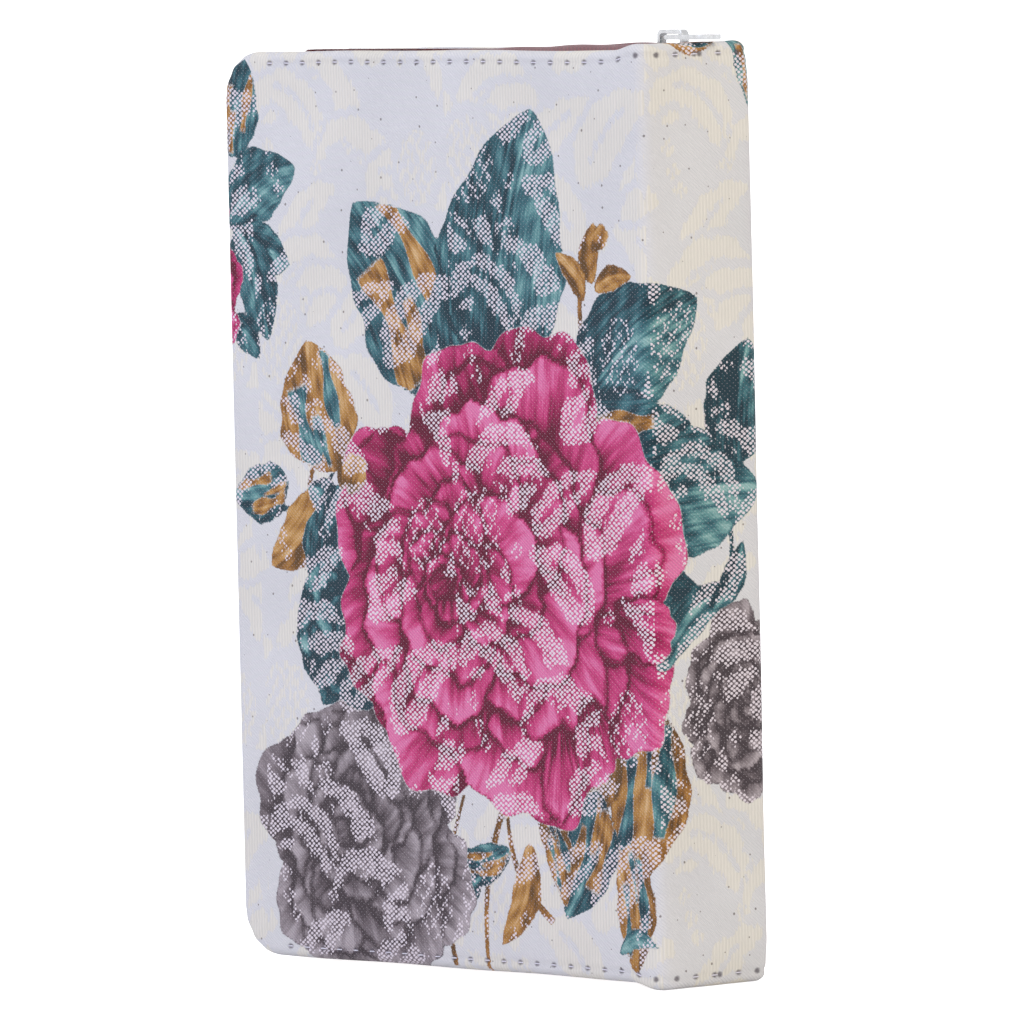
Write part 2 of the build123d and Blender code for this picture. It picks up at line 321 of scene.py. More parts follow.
panelLow, panelHigh = boxMm("front_lining")
panelLow = panelLow - 1.8
panelHigh = panelHigh + 1.8
coverLow, coverHigh = boxMm("spine_cover_fabric")
foreX = boxMm("front_cover_fabric")[0][0]
spineX = coverHigh[0]
halfThick = -boxMm("front_cover_fabric")[0][1]
spineFoot, spineHead = coverLow[2], coverHigh[2]
panelFoot, panelHead = panelLow[2], panelHigh[2]

cover = {
    "foldRadius": 3.0,
    "hemRoll": 2.0,
    "skirt": 0.9,           # cloth that goes on past the roll, down to the zip tape
    "cornerRadius": 10.0,
    "clothThick": 0.55,
    "cutCloth": (0.140, 0.190),     # half of the cloth as cut, in metres
    "fineCell": 0.46,       # grid of the cloth at its hems and folds
    "cell": 0.6,            # and between them
    "riseStart": 10.5,
    "riseEnd": 3.6,
    "stitchInset": 2.2,
    "stitchPitch": 4.9,
    "grooveDepth": 0.26,
    "hemWave": 0.3,
    "unevenness": 0.16,
    "puff": 0.75,           # how far the padded spine and back stand out
}
arcHalf = cover["foldRadius"] * math.pi / 4
middleS = arcHalf + halfThick - cover["foldRadius"]
foreFlatS = -arcHalf - (spineX - cover["foldRadius"] - foreX - cover["hemRoll"])
turnArc = cover["hemRoll"] * math.pi / 2
overrun = turnArc + cover["skirt"]


def hemHead(s):
    start = -arcHalf - (cover["riseStart"] - cover["foldRadius"])
    end = -arcHalf - (cover["riseEnd"] - cover["foldRadius"])
    rise = smoothStep((s - start) / (end - start))
    wave = cover["hemWave"] * (0.5 + 0.5 * np.sin(s / 9.0 + 1.1) * np.sin(s / 23.0)) * smoothStep((s + 126) / 12)
    return panelHead + (spineHead - panelHead) * rise - wave


def hemFoot(s):
    start = -arcHalf - (cover["riseStart"] - cover["foldRadius"])
    end = -arcHalf - (cover["riseEnd"] - cover["foldRadius"])
    rise = smoothStep((s - start) / (end - start))
    wave = cover["hemWave"] * (0.5 + 0.5 * np.sin(s / 11.0 + 2.0) * np.sin(s / 19.0)) * smoothStep((s + 126) / 12)
    return panelFoot + (spineFoot - panelFoot) * rise + wave


def stitchHoles(s):
    return np.abs(((s + 2.0) / cover["stitchPitch"]) % 1 - 0.5)


def foldCloth(s, v, extraDepth=0.0, side=-1):
    # takes a place on the flat cloth to its place on the closed case
    roll = cover["hemRoll"]
    corner = cover["cornerRadius"] - roll
    head, foot = hemHead(s), hemFoot(s)
    centreS = foreFlatS + corner
    dx = np.maximum(centreS - s, 0)
    up = v - (head - roll - corner)
    down = (foot + roll + corner) - v
    dz = np.where(up > 0, up, np.where(down > 0, -down, 0))
    r = np.hypot(dx, dz)
    beyond = np.maximum(r - corner, 0)
    turn = np.minimum(beyond / roll, math.pi / 2)
    past = np.maximum(beyond - turnArc, 0)
    depth = roll * (1 - np.cos(turn)) + past
    out = corner + roll * np.sin(turn) - 0.25 * smoothStep(past / 0.9)
    scale = np.where(beyond > 0, out / np.maximum(r, 1e-6), 1)
    planS = np.where(dx > 0, centreS - dx * scale, s)
    z = np.where(up > 0, head - roll - corner + dz * scale,
        np.where(down > 0, foot + roll + corner + dz * scale, v))
    # relief of the padded cloth, inwards
    endBand = np.where(np.abs(dz) > 0, np.where(dx > 0, 50,
        np.abs(dz) - corner + cover["stitchInset"] - roll), -50)
    alongHem = smoothStep((s - (foreFlatS + 10)) / 4)
    hole = smoothStep(1 - stitchHoles(s) / 0.16)
    groove = np.exp(-(endBand / 0.55) ** 2) * alongHem * (cover["grooveDepth"] + 0.16 * hole)
    pucker = np.exp(-(endBand / 2.0) ** 2) * alongHem * 0.09 * np.cos(2 * math.pi * (s + 2.0) / cover["stitchPitch"])
    calm = smoothStep(np.minimum(head - v, v - foot) / 9) * smoothStep((s - foreFlatS) / 9)
    uneven = cover["unevenness"] * (0.5 + 0.5 * softNoise(s, v, 11.0, 5)) * calm
    across = s if side < 0 else 2 * middleS - s
    swell = cover["puff"] * smoothStep(across / (2 * middleS)) * calm
    swell = swell * (0.45 + 0.55 * smoothStep((2 * middleS + 30 - across) / 30)) * (0.85 + 0.15 * softNoise(s, v, 23.0, 8))
    uneven = uneven - swell
    angle = np.arctan2(np.abs(dz), np.maximum(dx, 1e-6))
    inCorner = (dx > 0) & (np.abs(dz) > 0)
    pleat = np.where(inCorner, 0.13 * np.sin(angle * 14) * np.sin(2 * angle) * smoothStep((r - 4) / 6), 0)
    extra = extraDepth + groove + pucker * (1 - smoothStep(beyond / 2)) + uneven
    # the outline in plan: front panel, round fold, half of the spine
    radius = cover["foldRadius"]
    t = np.clip((planS + arcHalf) / (2 * arcHalf), 0, 1) * math.pi / 2
    x = np.where(planS < -arcHalf, spineX - radius + planS + arcHalf, spineX - radius + radius * np.sin(t))
    y = np.where(planS > arcHalf, -halfThick + radius + planS - arcHalf,
        -halfThick + radius - radius * np.cos(t))
    y = np.where(planS < -arcHalf, -halfThick, y)
    inward = depth + extra * np.cos(turn) + pleat
    nx, ny = np.sin(t), -np.cos(t)
    nearFold = np.where((planS > -arcHalf) & (planS < arcHalf), np.minimum(inward, radius - 0.05), inward)
    x = x - nx * nearFold
    y = y - ny * nearFold
    sideways = extra * np.sin(turn)
    z = z - np.sign(dz) * sideways * np.where(r > 0, np.abs(dz) / np.maximum(r, 1e-6), 0)
    x = x + np.where(dx > 0, sideways * dx / np.maximum(r, 1e-6), 0)
    return np.stack([x, y if side < 0 else -y, z], 1)


def spacing(total, bands):
    # places along one side of the cloth, closer together in the bands
    places = [0.0]
    while places[-1] < total - 1e-6:
        here = places[-1]
        fine = any(low <= here < high for low, high in bands)
        places.append(here + (cover["fineCell"] if fine else cover["cell"]))
    return np.array(places) * total / places[-1]


def clothMesh(name, side):
    width = middleS - foreFlatS + overrun
    tall = spineHead - spineFoot - 2 * cover["hemRoll"] + 2 * overrun
    fold = -foreFlatS + overrun
    alongS = spacing(width, [(0, 9), (fold - 7, fold + 6)])
    alongV = spacing(tall, [(0, 9), (tall - 9, tall)])
    mesh = gridMesh(name, len(alongS) - 1, len(alongV) - 1, side > 0)
    flat = readPoints(mesh)
    s = foreFlatS - overrun + alongS[np.round((flat[:, 0] + 0.5) * (len(alongS) - 1)).astype(int)]
    up = alongV[np.round((flat[:, 1] + 0.5) * (len(alongV) - 1)).astype(int)] / tall
    low = hemFoot(s) + cover["hemRoll"] - overrun
    high = hemHead(s) - cover["hemRoll"] + overrun
    v = low + up * (high - low)
    s, v = drawInCorners(s, v, foreFlatS - overrun, low, high,
        cover["cornerRadius"] - cover["hemRoll"] + overrun)
    writePoints(mesh, foldCloth(s, v, 0.0, side) * mm)
    keepField(mesh, "cloth", "FLOAT_VECTOR", np.stack([s if side < 0 else 2 * middleS - s, v,
        np.zeros_like(s)], 1))
    return mesh


# The flower print is drawn on the flat cloth: s runs from the near fold, v up from the foot, in mm

inkNames = ["pink", "teal", "ochre", "grey"]


class FlowerPrint:
    def __init__(self, s, v):
        self.s, self.v = s, v
        self.ink = np.full((len(s), 4), -9.0)       # how far inside each ink, mm
        self.tone = np.full(len(s), 0.5)
        self.edge = np.full(len(s), 9.0)            # how far from the nearest drawn edge, mm
        self.brush = np.zeros((len(s), 3))          # across and along the brush strokes, and their own number

    def near(self, x, z, reach):
        at = np.nonzero((np.abs(self.s - x) < reach) & (np.abs(self.v - z) < reach))[0]
        return at, self.s[at] - x, self.v[at] - z

    def stamp(self, at, ink, field, tone, brush, shade=0.3, fall=2.4):
        for number, name in enumerate(inkNames):
            old = self.ink[at, number]
            self.ink[at, number] = np.maximum(old, field) if name == ink else np.minimum(old, -field)
        inside = field > 0
        self.tone[at] = np.where(inside, tone, self.tone[at] - shade * np.exp(np.minimum(field, 0) / fall))
        self.edge[at] = np.where(inside, field, np.minimum(self.edge[at], -field))
        self.brush[at] = np.where(inside[:, None], np.stack(brush, 1), self.brush[at])

    def petal(self, ink, x, z, size, heading, wide, seed, light, shade=0.34):
        random = np.random.RandomState(seed)
        at, dx, dz = self.near(x, z, size * 1.9 * max(wide, 1) + 3)
        c, n = math.cos(heading), math.sin(heading)
        along = (dx * c + dz * n) / size
        across = (-dx * n + dz * c) / (size * wide)
        angle = np.arctan2(across, along)
        rim = 1.0
        for lobes in (2, 3, 5, 8, 13):
            rim = rim + random.uniform(0.03, 0.24 / lobes) * np.sin(lobes * angle + random.uniform(0, 6.28))
        rho = np.hypot(along, across) / rim
        field = (1 - rho) * size * min(wide, 1)
        fan = np.arctan2(across, along + 1.6)       # brush strokes open out from the foot of the petal
        tone = light + 0.16 * along + 0.10 * np.sin(fan * 9 + seed) + 0.10 * np.sin(fan * 17 + 2 * seed + along)
        tone = tone - 0.42 * smoothStep((-along - 0.1) / 0.7) + 0.16 * smoothStep((rho - 0.55) / 0.3)
        self.stamp(at, ink, field, tone, (fan * size * 1.5, along * size * 0.14, seed * 3.7 + 0 * fan),
            shade, 0.10 * size + 0.6)

    def rose(self, ink, x, z, size, seed, stretch=1.0, heart=(0.0, 0.0)):
        random = np.random.RandomState(seed)
        rings = [(8, 0.70, 0.40, 0.50), (8, 0.60, 0.37, 0.44), (8, 0.47, 0.33, 0.56), (7, 0.35, 0.28, 0.46),
                 (6, 0.25, 0.22, 0.58), (5, 0.16, 0.17, 0.48), (4, 0.08, 0.12, 0.60), (2, 0.03, 0.07, 0.30)]
        for ring, (count, reach, petalSize, light) in enumerate(rings):
            turn = random.uniform(0, 6.28)
            drift = ring / (len(rings) - 1)
            midX, midZ = x + heart[0] * size * drift, z + heart[1] * size * drift
            for number in range(count):
                heading = turn + 2 * math.pi * (number + random.uniform(-0.25, 0.25)) / count
                far = reach * size * random.uniform(0.88, 1.10)
                lighter = random.choice([-0.26, -0.08, 0.04, 0.12, 0.2])
                self.petal(ink, midX + far * math.cos(heading), midZ + far * math.sin(heading) * stretch,
                           petalSize * size * random.uniform(0.85, 1.15), heading + random.uniform(-0.6, 0.6),
                           random.uniform(0.72, 1.2), seed * 100 + ring * 20 + number, light + lighter)

    def leaf(self, ink, x, z, length, width, heading, bend=0.15, veins=5, light=0.5, streak=None, seed=1):
        random = np.random.RandomState(seed)
        at, dx, dz = self.near(x, z, length * 1.25 + 3)
        heading = math.radians(heading)
        c, n = math.cos(heading), math.sin(heading)
        along = (dx * c + dz * n) / length
        across = -dx * n + dz * c - bend * length * np.sin(math.pi * np.clip(along, 0, 1))
        inside = np.clip(along, 0, 1)
        phase, lean = random.uniform(0, 6.28, 2)
        outline = width / 2 * np.sin(math.pi * inside ** 0.85) ** 0.72
        outline = outline * (1 + 0.05 * np.sin(14 * inside + phase) + 0.03 * np.sin(31 * inside + np.sign(across)))
        field = np.minimum(outline - np.abs(across), np.minimum(along, 1 - along) * length * 0.8)
        slant = along * length - 0.9 * np.abs(across)
        ribs = np.sin(2 * math.pi * slant / (length / veins) + phase + 0.5 * np.sin(across * 0.6))
        shadow = np.tanh((across + 0.12 * width * np.sin(along * 5 + lean)) / 0.8)
        tone = light - 0.15 * shadow + 0.13 * smoothStep(ribs * 2 - 0.5) - 0.12 * smoothStep(-ribs * 2 - 0.6)
        tone = tone + 0.34 * np.exp(-(across / 0.55) ** 2) - 0.20 * np.exp(-((across - 1.3) / 0.7) ** 2)
        brush = (across * 1.3, along * length * 0.13, seed * 5.3 + 0 * across)
        self.stamp(at, ink, field, tone, brush, 0.22, 1.8)
        if streak:
            for offset, first, last, broad in ((0.20, 0.10, 0.70, 0.10), (-0.22, 0.3, 0.9, 0.07),
                (0.02, 0.05, 0.45, 0.05)):
                flame = width * (broad + 0.4 * broad * np.sin(along * 13 + phase + 9 * offset)) - np.abs(across - width * offset)
                flame = np.minimum(flame, np.minimum(along - first, last - along) * length * 0.35)
                self.stamp(at, streak, np.minimum(flame, field - 0.5), 0.5 + 0.2 * ribs, brush, 0.0)

    def stem(self, ink, x, z, length, width, heading, bend=0.2, light=0.45):
        at, dx, dz = self.near(x, z, length * 1.2 + 3)
        heading = math.radians(heading)
        c, n = math.cos(heading), math.sin(heading)
        along = (dx * c + dz * n) / length
        across = -dx * n + dz * c - bend * length * np.sin(math.pi * np.clip(along, 0, 1))
        field = width / 2 * (1.15 - 0.5 * np.clip(along, 0, 1)) - np.abs(across)
        field = np.minimum(field, np.minimum(along, 1 - along) * length)
        self.stamp(at, ink, field, light + 0.1 * np.sin(along * 20),
            (across, along * length * 0.2, across * 0), 0.1)


flowers = {
    # stems: s, v, length, width, heading, bend, ink
    "stems": [
        (-60, 2, 34, 1.3, 84, 0.10, "ochre"), (-44, 36, 36, 1.6, -100, -0.08, "ochre"),
        (-31, 12, 26, 1.6, 120, 0.15, "ochre"),
        (-118, 92, 30, 1.3, 20, -0.2, "teal"), (-98, 84, 22, 1.5, 80, 0.2, "ochre"),
        (-18, 122, 24, 1.3, 78, 0.15, "ochre"),
        (-6, 62, 26, 2.0, 25, 0.18, "teal"), (8, 70, 22, 1.6, 60, -0.2, "teal"),
        (-8, 20, 26, 1.4, 60, 0.2, "ochre"),
    ],
    # leaves: s, v, length, width, heading, bend, veins, light, ink, streak
    "leaves": [
        (-62, 114, 44, 31, 122, -0.08, 6, 0.46, "teal", "ochre"),
        (-50, 110, 34, 20, 98, 0.10, 5, 0.52, "teal", None),
        (-44, 114, 57, 36, 78, 0.06, 7, 0.44, "teal", None),
        (-20, 112, 38, 25, 34, 0.06, 6, 0.42, "teal", None),
        (-22, 106, 32, 22, 4, -0.08, 5, 0.56, "teal", "ochre"),
        (-10, 92, 37, 25, 6, 0.05, 6, 0.54, "teal", None),
        (-10, 84, 24, 15, -24, -0.10, 4, 0.60, "teal", None),
        (21, 101, 24, 18, 82, 0.04, 5, 0.16, "teal", None),
        (-16, 136, 12, 5.5, 84, 0.1, 3, 0.5, "ochre", None),
        (-15, 135, 11, 5, 14, 0.1, 3, 0.4, "ochre", None),
        (-18, 133, 12, 5, 132, -0.1, 3, 0.45, "ochre", None),
        (-93, 98, 27, 23, 106, 0.06, 4, 0.52, "ochre", "teal"),
        (-107, 96, 17, 12, 192, 0.06, 4, 0.36, "teal", "ochre"),
        (-96, 95, 23, 13, 224, 0.1, 4, 0.55, "ochre", None),
        (-90, 92, 13, 8, 60, 0.1, 3, 0.42, "ochre", None), (-101, 95, 13, 7, 330, 0.1, 3, 0.5, "teal", None),
        (-96, 72, 24, 14, 80, 0.08, 5, 0.50, "teal", None),
        (-90, 54, 26, 14, 118, 0.1, 5, 0.44, "teal", None),
        (-3, 56, 37, 21, -98, 0.06, 6, 0.46, "ochre", "teal"),
        (-13, 52, 30, 15, -112, -0.06, 5, 0.54, "ochre", None),
        (-17, 38, 27, 15, -112, 0.08, 5, 0.40, "teal", "ochre"),
        (-9, 28, 25, 11, -86, 0.05, 4, 0.40, "ochre", "teal"),
        (-34, 34, 20, 8, -70, 0.1, 4, 0.32, "ochre", "teal"),
        (-37, 27, 22, 8, 246, 0.12, 4, 0.5, "ochre", None),
        (-43, 25, 19, 8, 186, 0.1, 4, 0.38, "teal", "ochre"),
        (-52, 20, 15, 7, 228, -0.1, 4, 0.36, "teal", None),
        (-12, 7, 11, 4, 8, 0.2, 3, 0.55, "teal", None), (-62, 8, 12, 6, 185, 0.1, 3, 0.3, "teal", None),
        (4, 187, 17, 8, -8, -0.12, 3, 0.35, "ochre", "teal"),
        (24, 187, 18, 9, -82, 0.1, 3, 0.45, "teal", "ochre"),
        (-122, 160, 20, 14, 76, 0.05, 4, 0.32, "teal", "ochre"),
        (-124, 147, 24, 15, 28, 0.1, 5, 0.50, "teal", None),
        (-124, 141, 19, 12, -6, 0.1, 4, 0.55, "teal", None),
        (-121, 146, 24, 12, -68, 0.06, 5, 0.44, "teal", None),
        (-124, 128, 12, 7, -40, 0.1, 3, 0.3, "teal", None),
        # the same flowers come round again on the back
        (78, 122, 44, 26, 96, 0.1, 6, 0.42, "teal", None),
        (92, 120, 40, 24, 60, -0.1, 6, 0.36, "teal", "ochre"),
        (66, 118, 38, 22, 130, -0.1, 5, 0.5, "teal", None), (116, 96, 32, 20, 20, 0.1, 5, 0.5, "teal", None),
        (114, 70, 32, 18, -30, 0.1, 5, 0.46, "teal", "ochre"),
        (52, 60, 30, 18, 200, 0.1, 5, 0.5, "teal", None),
        (70, 42, 30, 16, -110, 0.1, 5, 0.5, "ochre", "teal"),
        (90, 40, 30, 17, -80, -0.1, 5, 0.45, "ochre", None),
        (104, 46, 26, 14, -50, 0.1, 5, 0.4, "teal", None),
        (50, 150, 20, 14, 120, 0.1, 4, 0.5, "ochre", "teal"),
        (56, 156, 20, 13, 60, 0.1, 4, 0.5, "ochre", None), (130, 150, 26, 14, 70, 0.1, 5, 0.5, "ochre", None),
        (136, 146, 24, 13, 20, -0.1, 5, 0.4, "teal", None),
    ],
    # roses, in the order they are printed: ink, s, v, size, seed, stretch, heart
    "roses": [
        ("teal", -88, 68, 15, 6, 1.15, (0.1, 0.1)), ("grey", -86, 25, 29, 7, 0.9, (-0.2, 0.1)),
        ("grey", 21, 54, 14, 9, 1.35, (0.1, 0.1)), ("pink", -133, 134, 13, 11, 1.9, (0, 0)),
        ("pink", -43, 78, 47, 3, 0.92, (-0.36, -0.02)), ("grey", 128, 24, 25, 13, 1.0, (0, 0)),
        ("grey", 46, 96, 13, 14, 1.1, (0, 0)), ("pink", 88, 82, 43, 15, 0.95, (0.2, 0.1)),
    ],
    # small shapes over them: ink, s, v, size, heading, wide, light
    "buds": [
        ("ochre", -87, 98, 4.2, 1.2, 0.8, 0.5), ("ochre", -13, 145, 2.6, 1.2, 0.8, 0.5),
        ("pink", -3, 70, 8, -0.3, 0.75, 0.5),
        ("pink", -18, 47, 9, -1.4, 0.6, 0.46), ("pink", -28, 41, 9, -1.6, 0.6, 0.56),
    ],
}


def drawPrint(s, v):
    art = FlowerPrint(s, v)
    for x, z, length, width, heading, bend, ink in flowers["stems"]:
        art.stem(ink, x, z, length, width, heading, bend)
    for number, (x, z, length, width, heading, bend, veins, light, ink,
        streak) in enumerate(flowers["leaves"]):
        art.leaf(ink, x, z, length, width, heading, bend, veins, light, streak, number + 3)
    for rose in flowers["roses"]:
        art.rose(*rose)
    art.leaf("teal", 0, 62, 26, 9, 36, 0.14, 4, 0.42, None, 91)
    art.leaf("teal", 14, 73, 15, 6, 58, -0.1, 3, 0.22, None, 92)
    for number, (ink, x, z, size, heading, wide, light) in enumerate(flowers["buds"]):
        art.petal(ink, x, z, size, heading, wide, 80 + number, light)
    # no dark line along the outside of the print, only between petals and leaves
    outer = art.ink.max(1)
    art.edge = art.edge + 4 * (1 - smoothStep((outer - art.edge) / 1.2))
    return art


damask = {
    "repeatWide": 58.0,
    "repeatTall": 72.0,
    "curls": 17,
    "gap": 1.7,             # plain cloth left between two scrolls
    "seeds": 20,
    "seed": 21,
    "cell": 0.4,
}


def drawDamask():
    # one repeat of the damask: lobed leaves that curl over at their tips, a net, and seeds set in fours
    wide, tall, gap = damask["repeatWide"], damask["repeatTall"], damask["gap"]
    x, z = np.meshgrid(np.arange(0, wide, damask["cell"]), np.arange(0, tall, damask["cell"]))
    field = np.full(x.shape, -9.0)
    random = np.random.RandomState(damask["seed"])

    def away(px, pz):
        return (x - px + wide / 2) % wide - wide / 2, (z - pz + tall / 2) % tall - tall / 2

    for number in range(damask["curls"]):
        t = (number * 8 % damask["curls"] + random.uniform(0.2, 0.8)) / damask["curls"]
        side = 1 if number % 2 else -1
        px = wide * (0.5 + 0.42 * math.sin(4 * math.pi * t + 0.4)) + random.uniform(-5, 5)
        pz = tall * t
        heading = math.pi / 2 + side * random.uniform(0.1, 1.0)
        length, width = random.uniform(17, 30), random.uniform(4.2, 8.0)
        hook, phase = side * random.uniform(0.6, 2.8), random.uniform(0, 6.28)
        made = np.full(x.shape, -9.0)
        vein = np.full(x.shape, -9.0)
        for k in range(26):
            u = k / 25
            reach = width / 2 * (0.25 + 0.95 * math.sin(math.pi * min(u ** 0.6, 1)) + 0.25 * u)
            reach *= 1 + 0.22 * math.sin(phase + u * 26)
            dx, dz = away(px, pz)
            far = np.hypot(dx, dz)
            made = np.maximum(made, reach - far)
            if 3 < k < 19 and width > 5:
                vein = np.maximum(vein, 0.75 - far)
            bearing = heading + hook * u ** 2.2
            px, pz = px + math.cos(bearing) * length / 25, pz + math.sin(bearing) * length / 25
        made = np.minimum(made, -vein)
        field = np.maximum(np.minimum(field, -made - gap), made)
    for netX, netZ, sizeX, sizeZ in ((0.12, 0.72, 7.5, 9.0), (0.86, 0.20, 6.0, 8.0)):
        dx, dz = away(netX * wide, netZ * tall)
        oval = (1 - np.hypot(dx / sizeX, dz / sizeZ)) * 6
        p, q = (dx + dz * 0.8) / 3.2, (dx - dz * 0.8) / 3.2
        lines = 0.42 - 3.2 * np.minimum(np.abs(p - np.round(p)), np.abs(q - np.round(q)))
        field = np.where(oval > 0, np.minimum(lines, oval), np.minimum(field, -oval - gap))
    for number in range(damask["seeds"]):
        px, pz = random.uniform(0, wide), random.uniform(0, tall)
        for turn in range(4):
            dx, dz = away(px + 1.15 * math.cos(turn * math.pi / 2), pz + 1.15 * math.sin(turn * math.pi / 2))
            field = np.where(field < -0.3, np.maximum(field, 0.62 - np.hypot(dx, dz)), field)
    return field


damaskField = drawDamask()


def readDamask(s, v):
    # the repeat is set half a drop lower in every second column
    column = np.floor(s / damask["repeatWide"])
    rows, columns = damaskField.shape
    a = (s / damask["repeatWide"]) % 1 * columns
    b = (v / damask["repeatTall"] + 0.5 * (column % 2)) % 1 * rows
    a0, b0 = np.floor(a).astype(int), np.floor(b).astype(int)
    fa, fb = a - a0, b - b0
    a0, a1, b0, b1 = a0 % columns, (a0 + 1) % columns, b0 % rows, (b0 + 1) % rows
    low = damaskField[b0, a0] * (1 - fa) + damaskField[b0, a1] * fa
    high = damaskField[b1, a0] * (1 - fa) + damaskField[b1, a1] * fa
    return low * (1 - fb) + high * fb


def needleHoles(s, v):
    # how far inside a needle hole of the hem stitching, mm; the cloth shader paints shade into the holes from it
    pitch = cover["stitchPitch"]
    ds = ((s + 2.0) / pitch + 0.5) % 1 - 0.5
    dv = np.minimum(np.abs(hemHead(s) - cover["stitchInset"] - v),
        np.abs(v - hemFoot(s) - cover["stitchInset"]))
    hole = 0.62 - np.hypot(ds * pitch * 0.8, dv)
    return np.where(s > foreFlatS + 9, hole, -2)


def clothFields(mesh):
    place = readField(mesh, "cloth").astype(float)
    s, v = place[:, 0], place[:, 1]
    art = drawPrint(s, v)
    keepField(mesh, "inks", "FLOAT_COLOR", np.clip(art.ink, -9, 9))
    keepField(mesh, "tone", "FLOAT", np.clip(art.tone, 0, 1))
    keepField(mesh, "edge", "FLOAT", art.edge)
    keepField(mesh, "brush", "FLOAT_VECTOR", art.brush)
    keepField(mesh, "scroll", "FLOAT", readDamask(s, v))
    # the needle holes, where shade is painted into the cloth
    keepField(mesh, "needle", "FLOAT", needleHoles(np.where(s > middleS, 2 * middleS - s, s), v))


weave = {
    "ribPitch": 0.82,        # warp ribs of the damask, mm
    "twillPitch": 0.9,
    "floatWide": 0.98,       # white floats over the print, drawn a little coarser than the thread so that they show
    "floatTall": 0.70,
    "ribCotton": "#D7D3CB",
    "twillCotton": "#CFCED0",
    "floatThread": "#DCD2D9",
    "fleck": "#4A3B34",
    "pink": ["#5A0A28", "#8A1A47", "#AE2D63", "#C6467C", "#D673A0"],
    "teal": ["#15303A", "#264D56", "#3D6A72", "#618F90", "#8CB0AE"],
    "ochre": ["#5A3F20", "#875C2C", "#A5773C", "#BA8E54", "#CCA97A"],
    "grey": ["#3F363A", "#5A5054", "#73696D", "#8C8286", "#A89EA2"],
}


